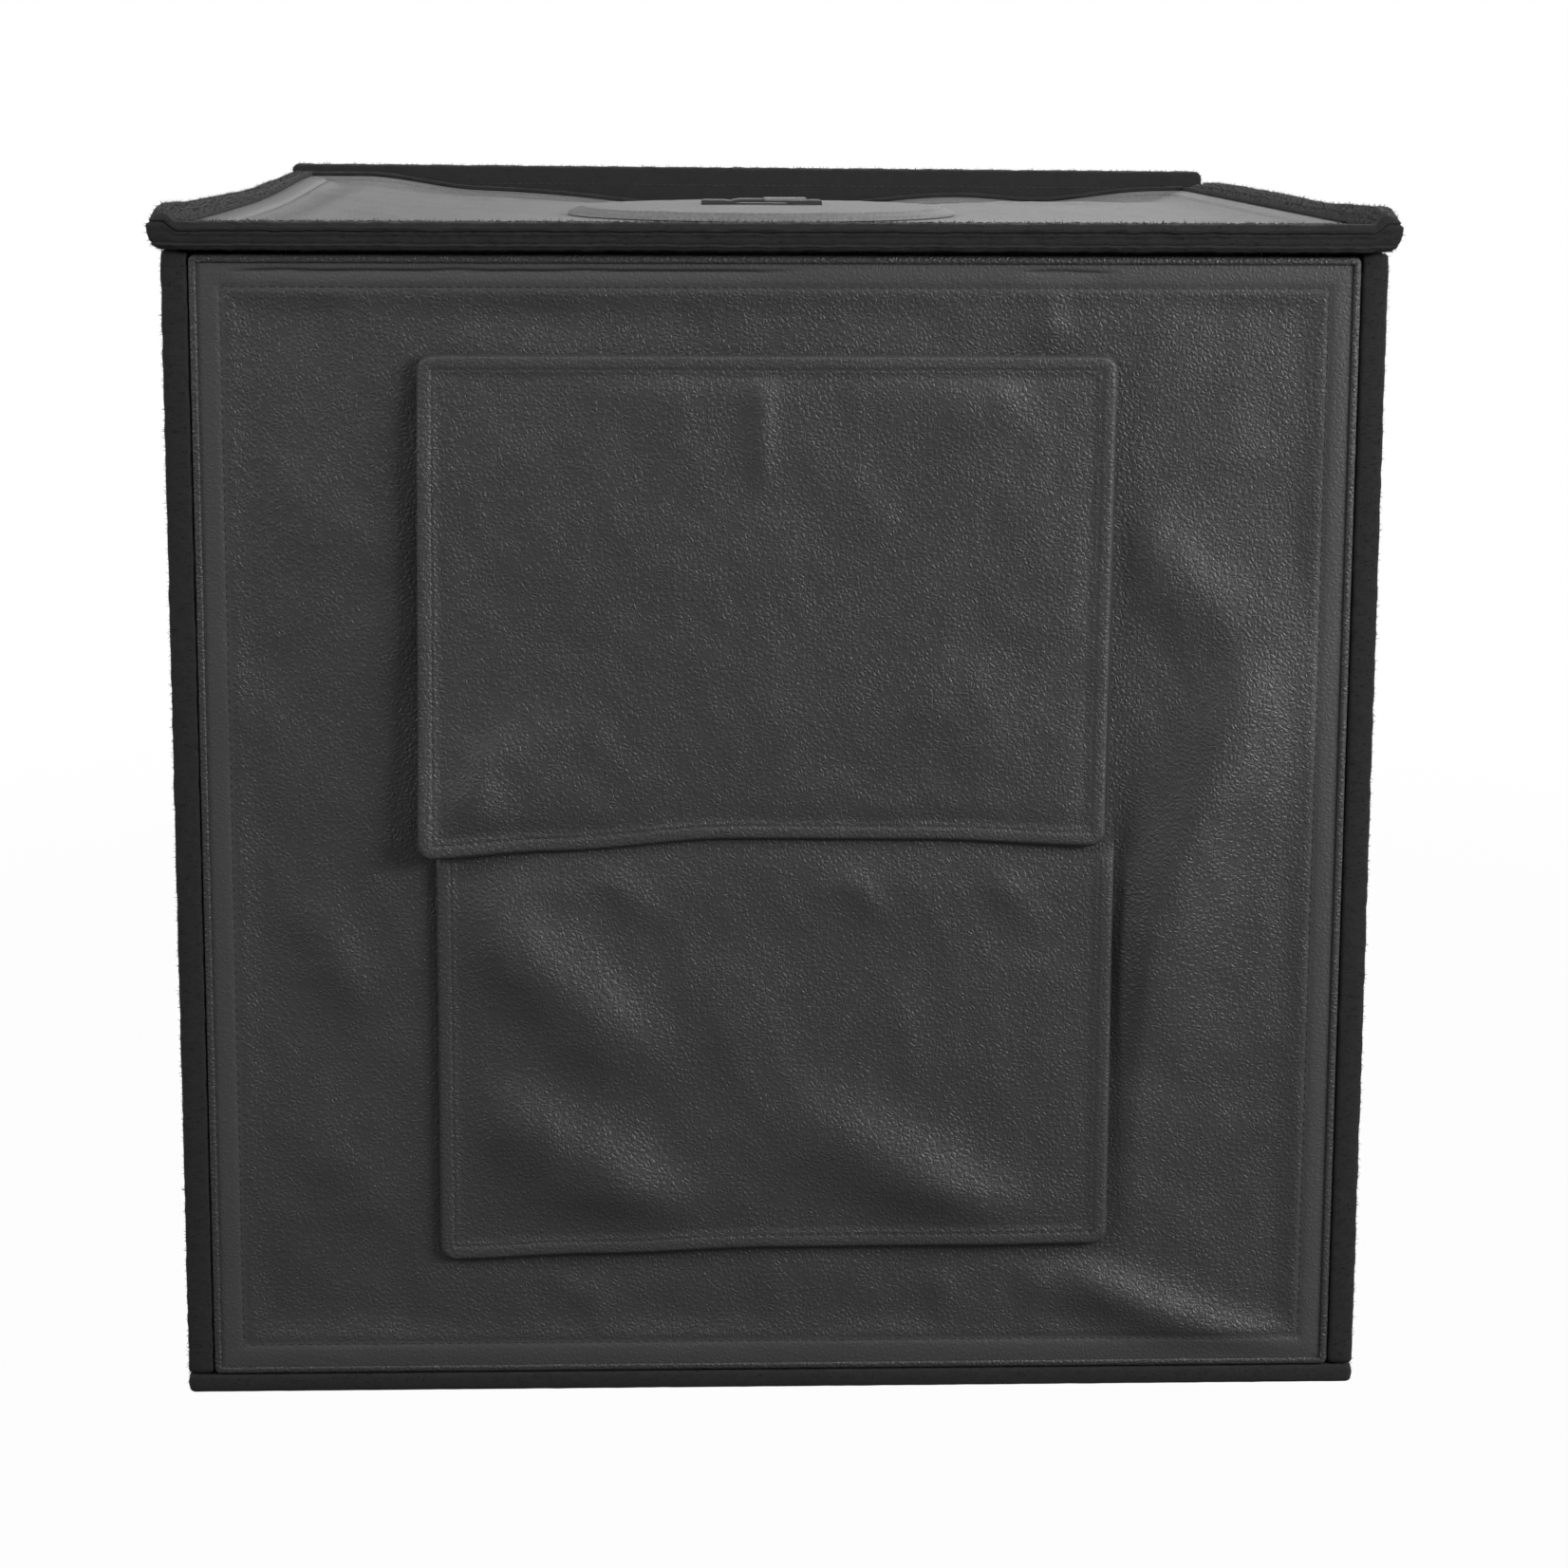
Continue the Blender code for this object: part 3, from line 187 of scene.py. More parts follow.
def ripple(u, v, pitch, seed, pitch_v=None):
    """Soft noise over a cloth, from about -1 to 1, with its pitches in millimetres."""
    return noise.noise(Vector((u / (pitch * MM), v / ((pitch_v or pitch) * MM), seed)))


def along_points(value, points):
    """A smooth line through (place, height) points, in millimetres, read at a place in metres."""
    place = value / MM
    if place <= points[0][0]:
        return points[0][1] * MM
    for (start, first), (end, second) in zip(points, points[1:]):
        if place <= end:
            return (first + (second - first) * smooth_step((place - start) / (end - start))) * MM
    return points[-1][1] * MM


def ridge(u, v, fold):
    """How far one soft fold lifts the cloth. With a spread below zero its steep side faces up."""
    from_u, from_v, to_u, to_v, spread, rise = (number * MM for number in fold)
    length = math.hypot(to_u - from_u, to_v - from_v)
    run_u = (to_u - from_u) / length
    run_v = (to_v - from_v) / length
    along = (u - from_u) * run_u + (v - from_v) * run_v
    reach = (2 * along / length - 1) / 0.95
    if abs(reach) > 2:
        return 0
    beside = (v - from_v) * run_u - (u - from_u) * run_v
    if (run_u > 0) != (spread > 0):
        beside = -beside
    far_side = 1.35 if spread > 0 else 0.75
    spread = abs(spread)
    beside += 0.7 * spread
    width = spread * (1.05 if beside > 0 else far_side)
    return rise * math.exp(-((beside / width) ** 2) - reach**4)


@functools.cache
def slack_sizes():
    """Pitch and rise of the cloths' waves and of their crinkles."""
    cloth = bpy.context.scene.light_tent_cloth
    return cloth.wave_pitch, cloth.wave_rise, cloth.crinkle_pitch, cloth.crinkle_rise


def slack(u, v, seed):
    """Uneven slack in a stretched cloth: broad waves, and small crinkles that run mostly upwards."""
    pitch, wave_rise, crinkle_pitch, crinkle_rise = slack_sizes()
    broad = noise.noise(Vector((u / pitch, v / (1.4 * pitch), seed)))
    middle = noise.noise(Vector((2.3 * u / pitch, 1.7 * v / pitch, seed + 9)))
    small = noise.noise(Vector((u / crinkle_pitch, v / (1.9 * crinkle_pitch), seed + 21)))
    crinkle = (1 - abs(small)) ** 5
    return wave_rise * (broad + 0.45 * middle) + crinkle_rise * crinkle


class Panel:
    """A sewn panel. From its outer face, u runs across, v from its hinged edge and n out of the tent."""

    def __init__(self, name, across, away, binding, leg, drop=0, slope=HEM_SLOPE, thickness=None):
        low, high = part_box(name + "_binding")
        size = high - low
        middle = (low + high) / 2
        self.name = name
        self.stretcher = {"base": "base_board", "roof": "roof_frame_rod"}.get(name, name + "_rod")
        self.across = Vector(across)
        self.away = Vector(away)
        self.outward = self.across.cross(self.away)
        self.width = abs(size.dot(self.across))
        self.height = abs(size.dot(self.away))
        self.thickness = thickness or abs(size.dot(self.outward))
        nearest = min(low.dot(self.away), high.dot(self.away))
        outermost = max(low.dot(self.outward), high.dot(self.outward))
        self.origin = self.across * middle.dot(self.across) + self.away * nearest + self.outward * outermost
        self.left = -self.width / 2
        self.right = self.width / 2
        self.binding = binding
        self.leg = leg
        self.edge = binding + GAP
        self.hem_end = leg + HEM_WIDTH
        self.seam = self.hem_end - 1.2 * MM
        self.slope = slope
        self.cover_hem = -self.edge
        self.lining_hem = -self.thickness + self.edge + LINING_CLOTH
        half_slack = (GAP + FIELD_SLACK) / 2
        self.cover_field = -self.thickness / 2 - drop + half_slack + COVER_CLOTH
        self.lining_field = -self.thickness / 2 - drop - half_slack
        self.rectangle = (self.left, self.right, 0, self.height)

    def at(self, u, v, n):
        return self.origin + self.across * u + self.away * v + self.outward * n

    def inset(self, u, v):
        return min(u - self.left, self.right - u, v, self.height - v)

    def in_hem(self, u, v):
        """1 in the sewn hem and 0 in the field."""
        return 1 - smooth_step((self.inset(u, v) - self.hem_end + HEM_SLOPE / 2) / HEM_SLOPE)

    def cover_level(self, u, v, folds, seed, calm=None):
        """The cover's outer face: a rolled hem, a sewn groove, then the slack and folds of the field."""
        inset = self.inset(u, v)
        share = smooth_step((inset - self.hem_end) / self.slope)
        level = self.cover_hem + (self.cover_field - self.cover_hem) * share
        hem_share = clamped((inset - self.leg) / HEM_WIDTH)
        level += HEM_ROLL * math.sin(math.pi * hem_share)
        level -= GROOVE * bump_at(inset, self.seam, GROOVE_HALF_WIDTH)
        pucker = ripple(u, v, 6, seed + 40)
        level += HEM_PUCKER * pucker * bump_at(inset, self.seam + 2 * MM, 5 * MM)
        field = smooth_step((inset - self.hem_end) / HEM_WIDTH)
        into_hem = smooth_step((inset - self.leg) / (self.hem_end + HEM_WIDTH - self.leg))
        lift = slack(u, v, seed) * field + sum(ridge(u, v, fold) for fold in folds) * into_hem
        return level + lift * (calm(u, v) if calm else 1)

    def lining_level(self, u, v, seed):
        """The lining's outer face, with a little slack of its own."""
        inset = self.inset(u, v)
        share = smooth_step((inset - self.hem_end) / self.slope)
        level = self.lining_hem + (self.lining_field - self.lining_hem) * share
        wave = ripple(u, v, 30, seed + 60, 34)
        return level + LINING_WAVE * wave * smooth_step((inset - self.hem_end) / HEM_WIDTH)


WALL_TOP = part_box("left_wall_binding")[1].z
ROOF_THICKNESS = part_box("roof_binding")[1].z - WALL_TOP - PANEL_GAP
BASE = Panel("base", (1, 0, 0), (0, -1, 0), WALL_BINDING, WALL_LEG)
LEFT_WALL = Panel("left_wall", (0, -1, 0), (0, 0, 1), WALL_BINDING, WALL_LEG)
RIGHT_WALL = Panel("right_wall", (0, 1, 0), (0, 0, 1), WALL_BINDING, WALL_LEG)
REAR_WALL = Panel("rear_wall", (-1, 0, 0), (0, 0, 1), WALL_BINDING, WALL_LEG)
DOOR = Panel("front_door", (1, 0, 0), (0, 0, 1), DOOR_BINDING, DOOR_LEG, slope=4 * HEM_SLOPE)
ROOF = Panel(
    "roof", (-1, 0, 0), (0, -1, 0), ROOF_BINDING, WALL_LEG, ROOF_DROP, ROOF_SLOPE, ROOF_THICKNESS
)


def length_property(name, description, default):
    """A length that a user may change, in metres."""
    return bpy.props.FloatProperty(
        name=name, description=description, default=default, min=0, precision=5, unit="LENGTH"
    )


def colour_property(name, description, default):
    """A colour that a user may change."""
    return bpy.props.FloatVectorProperty(
        name=name, description=description, default=default, min=0, max=1, subtype="COLOR"
    )


class LightTentColours(bpy.types.PropertyGroup):
    """Colours of the cloths and tapes"""

    leathercloth: colour_property(
        "Leathercloth", "Coated cloth of the walls, door and flaps", (0.035, 0.035, 0.036)
    )
    binding: colour_property("Binding", "Fuzzy tape round the panels' edges", (0.019, 0.019, 0.0198))
    tape: colour_property("Tape", "Hook tapes, loop tapes and webbing", (0.026, 0.026, 0.0275))
    roof_cloth: colour_property(
        "Roof cloth", "Coated grey cloth of the roof and hatch", (0.178, 0.178, 0.181)
    )
    lining: colour_property("Lining", "Silver cloth inside the tent", (0.42, 0.424, 0.43))
    backdrop: colour_property("Backdrop", "White sheet behind the product", (0.52, 0.52, 0.513))


class LightTentCloth(bpy.types.PropertyGroup):
    """Sizes of the cloths and how slack they are"""

    cell: length_property("Cell", "Widest cell of the covers' meshes", 3.0 * MM)
    lining_cell: length_property("Lining cell", "Widest cell of the linings' meshes", 6.5 * MM)
    grain_pitch: length_property("Grain pitch", "Distance between the pebbles of the grain", 1.7 * MM)
    grain_depth: length_property("Grain depth", "Height of the pebbles of the grain", 0.15 * MM)
    wave_pitch: length_property("Wave pitch", "Width of the broad waves in slack cloth", 46 * MM)
    wave_rise: length_property("Wave rise", "Height of the broad waves in slack cloth", 0.95 * MM)
    crinkle_pitch: length_property("Crinkle pitch", "Width of the small crinkles", 15 * MM)
    crinkle_rise: length_property("Crinkle rise", "Height of the small crinkles", 0.42 * MM)


class LightTentSewing(bpy.types.PropertyGroup):
    """Sizes of the stitches and of the fuzz on the tapes"""

    stitch_pitch: length_property("Stitch pitch", "Distance from stitch to stitch", 3.2 * MM)
    stitch_length: length_property("Stitch length", "Length of one stitch", 2.5 * MM)
    thread: length_property("Thread", "Thickness of the sewing thread", 0.42 * MM)
    fuzz_length: length_property("Fuzz length", "Length of a fibre of the tapes' fuzz", 1.3 * MM)
    fuzz_width: length_property("Fuzz width", "Thickness of a fibre at its root", 0.22 * MM)
    fuzz_density: bpy.props.FloatProperty(
        name="Fuzz density", description="Fibres on a square metre of tape", default=300000, min=0
    )


class Signal:
    """One output in a finish's node tree. Arithmetic on it adds Math nodes."""

    def __init__(self, finish, socket):
        self.finish = finish
        self.socket = socket

    def math(self, operation, first, second):
        return self.finish.node("ShaderNodeMath", {"operation": operation}, {0: first, 1: second})

    def __add__(self, other):
        return self.math("ADD", self, other)

    def __radd__(self, other):
        return self.math("ADD", other, self)

    def __sub__(self, other):
        return self.math("SUBTRACT", self, other)

    def __rsub__(self, other):
        return self.math("SUBTRACT", other, self)

    def __mul__(self, other):
        return self.math("MULTIPLY", self, other)

    def __rmul__(self, other):
        return self.math("MULTIPLY", other, self)


class Finish:
    """A material and the nodes that feed its shader."""

    def __init__(self, name):
        self.material = bpy.data.materials.new(name)
        self.material.use_nodes = True
        self.tree = self.material.node_tree
        self.shader = self.tree.nodes["Principled BSDF"]
        self.colours = bpy.context.scene.light_tent_colours
        self.cloth = bpy.context.scene.light_tent_cloth

    def node(self, kind, settings, values, output=0):
        """Adds a node, with its settings first, and gives one of its outputs."""
        made = self.tree.nodes.new(kind)
        for key, value in settings.items():
            setattr(made, key, value)
        for key, value in values.items():
            self.feed(made, key, value)
        return Signal(self, made.outputs[output])

    def feed(self, made, key, value):
        """Gives a value or a link to a socket, by its number, identifier or name."""
        if isinstance(key, int):
            socket = made.inputs[key]
        else:
            socket = next(s for s in made.inputs if key in (s.identifier, s.name))
        if isinstance(value, Signal):
            self.tree.links.new(value.socket, socket)
        else:
            socket.default_value = value

    def object_place(self):
        return self.node("ShaderNodeTexCoord", {}, {}, "Object")

    def cloth_place(self):
        return self.node("ShaderNodeUVMap", {"uv_map": "cloth"}, {})

    def stretched(self, place, scale):
        return self.node("ShaderNodeVectorMath", {"operation": "MULTIPLY"}, {0: place, 1: scale})

    def shifted(self, place, offset):
        return self.node("ShaderNodeVectorMath", {"operation": "ADD"}, {0: place, 1: offset})

    def coordinate(self, place, axis):
        return self.node("ShaderNodeSeparateXYZ", {}, {0: place}, axis)

    def attribute(self, name):
        return self.node("ShaderNodeAttribute", {"attribute_name": name}, {}, "Fac")

    def noise(self, place, scale, detail=3, roughness=0.55):
        values = {"Vector": place, "Scale": scale, "Detail": detail, "Roughness": roughness}
        return self.node("ShaderNodeTexNoise", {}, values, "Fac")

    def noise_colour(self, place, scale):
        return self.node(
            "ShaderNodeTexNoise", {}, {"Vector": place, "Scale": scale, "Detail": 2}, "Color"
        )

    def cells(self, place, scale, feature="F1"):
        return self.node(
            "ShaderNodeTexVoronoi", {"feature": feature}, {"Vector": place, "Scale": scale}, "Distance"
        )

    def spread(self, signal, low, high, to_low=0.0, to_high=1.0):
        """Maps the range from low to high smoothly onto another range."""
        values = {"Value": signal, "From Min": low, "From Max": high, "To Min": to_low, "To Max": to_high}
        return self.node("ShaderNodeMapRange", {"interpolation_type": "SMOOTHSTEP"}, values)

    def ribs(self, place, axis, pitch):
        """Rounded ribs across one axis, from 0 between them to 1 on top."""
        turn = self.coordinate(place, axis) * (2 * math.pi / pitch)
        wave = self.node("ShaderNodeMath", {"operation": "SINE"}, {0: turn})
        return wave * 0.5 + 0.5

    def between(self, factor, first, second):
        """A colour between two colours."""
        return self.node(
            "ShaderNodeMix", {"data_type": "RGBA"},
            {"Factor_Float": factor, "A_Color": first, "B_Color": second}, 2,
        )

    def shaded(self, colour, factor):
        """A colour made darker or lighter by a factor that varies about 1."""
        grey = self.node("ShaderNodeCombineXYZ", {}, {"X": factor, "Y": factor, "Z": factor})
        return self.node("ShaderNodeVectorMath", {"operation": "MULTIPLY"}, {0: grey, 1: colour})

    def bump(self, height, distance, strength=1.0, normal=None):
        values = {"Height": height, "Distance": distance, "Strength": strength}
        if normal:
            values["Normal"] = normal
        return self.node("ShaderNodeBump", {}, values)

    def settle(self, **values):
        """Gives the shader's sockets their values and links, by name with _ for a space."""
        for key, value in values.items():
            self.feed(self.shader, key.replace("_", " ").title().replace("Ior", "IOR"), value)
        return self.material


def warped(made, place, scale, amount):
    """Shifts a place by a soft noise, so that a regular pattern wanders."""
    wander = made.shifted(made.noise_colour(place, scale), (-0.5, -0.5, -0.5))
    return made.shifted(place, made.stretched(wander, (amount, amount, amount)))


def leathercloth(made):
    """Coated cloth with a pebbled grain, pressed smoother where it is sewn and a little paler in random
    rubbed patches; its sewn hems are made paler too, a painted sheen.
    """
    place = made.cloth_place()
    hem = made.attribute("hem")
    pitch = made.cloth.grain_pitch
    wandering = warped(made, place, 0.35 / pitch, 0.5 * pitch)
    pebbles = made.spread(made.cells(wandering, 1 / pitch, "DISTANCE_TO_EDGE"), 0.0, 0.34)
    small = made.spread(made.cells(place, 2.3 / pitch, "DISTANCE_TO_EDGE"), 0.0, 0.3)
    speckle = made.noise(place, 3.2 / pitch, 3)
    relief = (pebbles * 0.62 + small * 0.22 + speckle * 0.3) * (1 - hem * 0.5)
    patches = made.noise(place, 16, 4, 0.6)
    rubbed = made.spread(made.noise(place, 55, 4, 0.65), 0.52, 0.78)
    # hem * 0.3 is painted sheen: the sewn hems are made paler than the field
    shade = 0.82 + patches * 0.24 + pebbles * 0.12 + hem * 0.3 + rubbed * 0.1
    roughness = 0.38 + patches * 0.1 - pebbles * 0.05 + hem * 0.07 + (1 - small) * 0.05
    weave = made.noise(place, 14 / pitch, 2)
    fine = made.bump(weave, 0.03 * MM, 0.5)
    return made.settle(
        base_color=made.shaded(made.colours.leathercloth, shade), roughness=roughness,
        normal=made.bump(relief, made.cloth.grain_depth * 1.6, 1.0, fine),
    )


def fuzzy_binding(made):
    """Napped loop tape: matt, dark, with a short felted surface."""
    place = made.cloth_place()
    nap = made.noise(place, 1500, 5, 0.7)
    clumps = made.noise(place, 260, 3)
    shade = 0.55 + nap * 0.55 + clumps * 0.5
    height = nap * 0.6 + clumps * 0.6
    return made.settle(
        base_color=made.shaded(made.colours.binding, shade), roughness=0.88 + nap * 0.1,
        normal=made.bump(height, 0.5 * MM, 0.9), sheen_weight=0.04, sheen_roughness=0.5,
        specular_ior_level=0.16,
    )


def fibre(made):
    """The loose fibres of the nap."""
    place = made.object_place()
    shade = 0.5 + made.noise(place, 900, 2) * 0.8
    return made.settle(
        base_color=made.shaded(made.colours.binding, shade), roughness=0.9, specular_ior_level=0.12
    )


def woven_tape(made):
    """Ribbed black tape with a dense weave."""
    place = made.cloth_place()
    across = made.ribs(place, 0, 0.9 * MM)
    along = made.ribs(place, 1, 0.62 * MM)
    fluff = made.noise(place, 1700, 3, 0.7)
    weave = across * along
    shade = 0.6 + weave * 0.45 + fluff * 0.45
    return made.settle(
        base_color=made.shaded(made.colours.tape, shade), roughness=0.8 + fluff * 0.15,
        normal=made.bump(weave * 0.8 + fluff * 0.5, 0.25 * MM, 0.8), sheen_weight=0.12,
    )


def roof_cloth(made):
    """Grey coated cloth with a fine pebbled weave, darkened a little along its hems by painted shade."""
    place = made.cloth_place()
    hem = made.attribute("hem")
    pitch = made.cloth.grain_pitch
    threads = made.ribs(place, 0, 0.7 * MM) * made.ribs(place, 1, 0.7 * MM)
    pebbles = made.spread(made.cells(place, 1 / pitch, "DISTANCE_TO_EDGE"), 0.0, 0.3)
    patches = made.noise(place, 22, 4, 0.6)
    relief = pebbles * 0.5 + threads * 0.35
    speckle = made.noise(place, 620, 3, 0.7)
    # hem * 0.08 is painted shade: the cloth is darkened along its hems
    shade = 0.53 + patches * 0.28 + pebbles * 0.2 + threads * 0.1 + speckle * 0.34 - hem * 0.08
    return made.settle(
        base_color=made.shaded(made.colours.roof_cloth, shade), roughness=0.62 + patches * 0.14,
        normal=made.bump(relief * (1 - hem * 0.4), 0.3 * MM, 0.9), specular_ior_level=0.3,
    )


def silver_lining(made):
    """Metal-coated cloth with a fine crush and a diamond weave under it."""
    place = made.cloth_place()
    crush = made.noise(warped(made, place, 40, 12 * MM), 120, 5, 0.62)
    facets = made.cells(warped(made, place, 60, 6 * MM), 95)
    threads = made.ribs(place, 0, 1.1 * MM) * made.ribs(place, 1, 1.1 * MM)
    shade = 0.85 + crush * 0.25
    return made.settle(
        base_color=made.shaded(made.colours.lining, shade), roughness=0.58 + crush * 0.18, metallic=0.36,
        normal=made.bump(crush * 0.7 + facets * 0.5 + threads * 0.06, 0.9 * MM, 0.55),
    )


def white_sheet(made):
    """Matt white plastic sheet with a fine orange-peel face."""
    place = made.cloth_place()
    peel = made.noise(place, 900, 3)
    patches = made.noise(place, 14, 3)
    shade = 0.97 + patches * 0.05
    return made.settle(
        base_color=made.shaded(made.colours.backdrop, shade), roughness=0.62 + peel * 0.14,
        normal=made.bump(peel, 0.06 * MM, 0.5), specular_ior_level=0.2,
    )


def sewing_thread(made, colour):
    """Twisted polyester thread."""
    place = made.object_place()
    twist = made.noise(place, 2600, 2)
    return made.settle(
        base_color=made.shaded(colour, 0.75 + twist * 0.5), roughness=0.6,
        normal=made.bump(twist, 0.08 * MM, 0.7),
    )


def steel_rod(made):
    """Drawn spring steel with faint draw marks and a few spots of tarnish."""
    place = made.object_place()
    marks = made.noise(place, 700, 3)
    tarnish = made.spread(made.noise(place, 60, 4), 0.55, 0.75)
    return made.settle(
        base_color=made.between(tarnish, (0.46, 0.46, 0.47, 1), (0.24, 0.2, 0.16, 1)),
        roughness=0.3 + marks * 0.2, metallic=1.0, normal=made.bump(marks, 0.03 * MM, 0.5),
    )


def fibre_board(made):
    """Brown grey pressed board with short fibres."""
    place = made.object_place()
    fibres = made.noise(made.stretched(place, (160, 900, 900)), 1, 4, 0.7)
    specks = made.noise(place, 1200, 2)
    return made.settle(
        base_color=made.between(fibres, (0.22, 0.2, 0.17, 1), (0.33, 0.3, 0.25, 1)),
        roughness=0.75 + specks * 0.15, normal=made.bump(fibres, 0.1 * MM, 0.6),
    )


def brushed_aluminium(made):
    """Extruded aluminium, brushed along its length, with a thin clear anodised coat."""
    place = made.object_place()
    grain = made.noise(made.stretched(place, (20, 2600, 2600)), 1, 3)
    smudge = made.noise(place, 30, 3)
    return made.settle(
        base_color=made.between(grain, (0.52, 0.52, 0.53, 1), (0.66, 0.66, 0.67, 1)),
        roughness=0.26 + grain * 0.12 + smudge * 0.08, metallic=1.0,
        normal=made.bump(grain, 0.02 * MM, 0.6),
    )


def light_board(made):
    """White solder mask, with yellow phosphor on the chips that stand below it."""
    place = made.object_place()
    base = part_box("front_light_light_board")[0].z
    chips = 1 - made.spread(made.coordinate(place, 2), base + 0.2 * MM, base + 0.7 * MM)
    mask = made.noise(place, 800, 2)
    return made.settle(
        base_color=made.between(chips, (0.66, 0.67, 0.652, 1), (0.7, 0.53, 0.1, 1)),
        roughness=0.35 + mask * 0.15, normal=made.bump(mask, 0.03 * MM, 0.5),
    )


def opal_diffuser(made):
    """Opal plastic with a satin face and faint extrusion lines."""
    place = made.object_place()
    lines = made.noise(made.stretched(place, (6, 900, 900)), 1, 2)
    cloud = made.noise(place, 40, 2)
    return made.settle(
        base_color=made.between(cloud, (0.6, 0.6, 0.586, 1), (0.66, 0.66, 0.645, 1)),
        roughness=0.32 + lines * 0.12, normal=made.bump(lines, 0.02 * MM, 0.6),
    )


def moulded_plastic(made):
    """Black moulded plastic with a spark-eroded texture."""
    place = made.object_place()
    erosion = made.noise(place, 2400, 3)
    scuffs = made.spread(made.noise(place, 130, 4, 0.7), 0.56, 0.7)
    return made.settle(
        base_color=made.between(scuffs, (0.028, 0.028, 0.03, 1), (0.05, 0.05, 0.052, 1)),
        roughness=0.42 + erosion * 0.2, normal=made.bump(erosion, 0.04 * MM, 0.7),
    )


def nickel(made):
    """Plated brass with fine handling scratches."""
    place = made.object_place()
    scratches = made.noise(made.stretched(place, (300, 2400, 900)), 1, 3)
    return made.settle(
        base_color=made.between(scratches, (0.56, 0.54, 0.5, 1), (0.66, 0.64, 0.6, 1)),
        roughness=0.18 + scratches * 0.16, metallic=1.0,
        normal=made.bump(scratches, 0.02 * MM, 0.5),
    )


FINISH_MAKERS = {
    "black_leathercloth": leathercloth,
    "black_binding": fuzzy_binding,
    "black_fibre": fibre,
    "black_tape": woven_tape,
    "grey_roof_cloth": roof_cloth,
    "silver_lining": silver_lining,
    "white_backdrop": white_sheet,
    "black_thread": lambda made: sewing_thread(made, (0.022, 0.022, 0.023)),
    "grey_thread": lambda made: sewing_thread(made, (0.16, 0.16, 0.162)),
    "steel_rod": steel_rod,
    "base_board": fibre_board,
    "bar_aluminium": brushed_aluminium,
    "light_board": light_board,
    "bar_diffuser": opal_diffuser,
    "black_plastic": moulded_plastic,
    "eyelet_nickel": nickel,
}


def finish(name):
    """The material of that finish, made once."""
    made = bpy.data.materials.get(name)
    if made and made.get("light_tent"):
        return made
    if made:
        made.name = name + "_packed"
    made = FINISH_MAKERS[name](Finish(name))
    made["light_tent"] = True
    return made


def put_in_scene(name, data):
    """A new object with that mesh, curve, lamp or camera."""
    made = bpy.data.objects.new(name, data)
    bpy.context.scene.collection.objects.link(made)
    return made


def add_object(name, mesh, finish_name):
    """Puts a mesh in the scene with its finish."""
    mesh.materials.clear()
    mesh.materials.append(finish(finish_name))
    return put_in_scene(name, mesh)


def plain_mesh(holder):
    """The mesh that an object's modifiers or its curve make. The object itself is taken away."""
    graph = bpy.context.evaluated_depsgraph_get()
    mesh = bpy.data.meshes.new_from_object(holder.evaluated_get(graph))
    bpy.data.objects.remove(holder)
    return mesh


def settle(piece, body, slot, *nodes):
    """Puts a finished piece on its body, in place of the solids that it stands for."""
    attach(piece, body)
    if nodes:
        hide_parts(*nodes)
    return piece


def mesh_from(name, points, faces, corner_places=None, hem=None, sharp=50):
    """A smooth mesh with its flat place as UV in metres, and its share of hem as an attribute."""
    mesh = bpy.data.meshes.new(name)
    mesh.from_pydata(points, [], faces)
    if corner_places:
        layer = mesh.uv_layers.new(name="cloth")
        layer.data.foreach_set("uv", [number for place in corner_places for number in place])
    shares = mesh.attributes.new("hem", "FLOAT", "POINT")
    shares.data.foreach_set("value", hem or [0.0] * len(points))
    return smoothed(mesh, sharp)


def smoothed(mesh, sharp):
    """A mesh with smooth faces, parted where they meet at more than an angle in degrees."""
    mesh.shade_smooth()
    mesh.set_sharp_from_angle(angle=math.radians(sharp))
    return mesh


def merge_points(mesh):
    """Joins the points that lie on each other, and drops faces with no area."""
    bm = bmesh.new()
    bm.from_mesh(mesh)
    bmesh.ops.remove_doubles(bm, verts=bm.verts, dist=SAME_PLACE)
    bmesh.ops.dissolve_degenerate(bm, edges=bm.edges, dist=SAME_PLACE)
    bm.to_mesh(mesh)
    bm.free()


def mesh_of(bm, name, sharp):
    """The smooth mesh of a bmesh, which ends here."""
    mesh = bpy.data.meshes.new(name)
    bm.to_mesh(mesh)
    bm.free()
    return smoothed(mesh, sharp)


def lay_flat_places(mesh):
    """Gives a small solid piece a UV map in metres, seen along each face's own direction."""
    layer = mesh.uv_layers.new(name="cloth")
    for face in mesh.polygons:
        axis = max(range(3), key=lambda k: abs(face.normal[k]))
        across, up = [k for k in range(3) if k != axis]
        for loop in face.loop_indices:
            point = mesh.vertices[mesh.loops[loop].vertex_index].co
            layer.data[loop].uv = (point[across], point[up])


def on_circle(radius, steps):
    """Places spread evenly round a circle."""
    angles = [2 * math.pi * step / steps for step in range(steps)]
    return [(radius * math.cos(angle), radius * math.sin(angle)) for angle in angles]


def spaced(start, end, widest):
    """Even stops from start to end, not further apart than widest."""
    steps = max(1, math.ceil((end - start) / widest - 1e-6))
    return [start + (end - start) * step / steps for step in range(steps + 1)]


def edge_lines(low, high, near, widest, extra=()):
    """Grid lines from low to high, with the near stops inside both ends and even cells between."""
    stops = {round(low + stop, 7) for stop in near} | {round(high - stop, 7) for stop in near}
    stops = sorted(stops | {round(stop, 7) for stop in extra})
    lines = [stops[0]]
    for start, end in zip(stops, stops[1:]):
        lines += spaced(start, end, widest)[1:]
    return lines


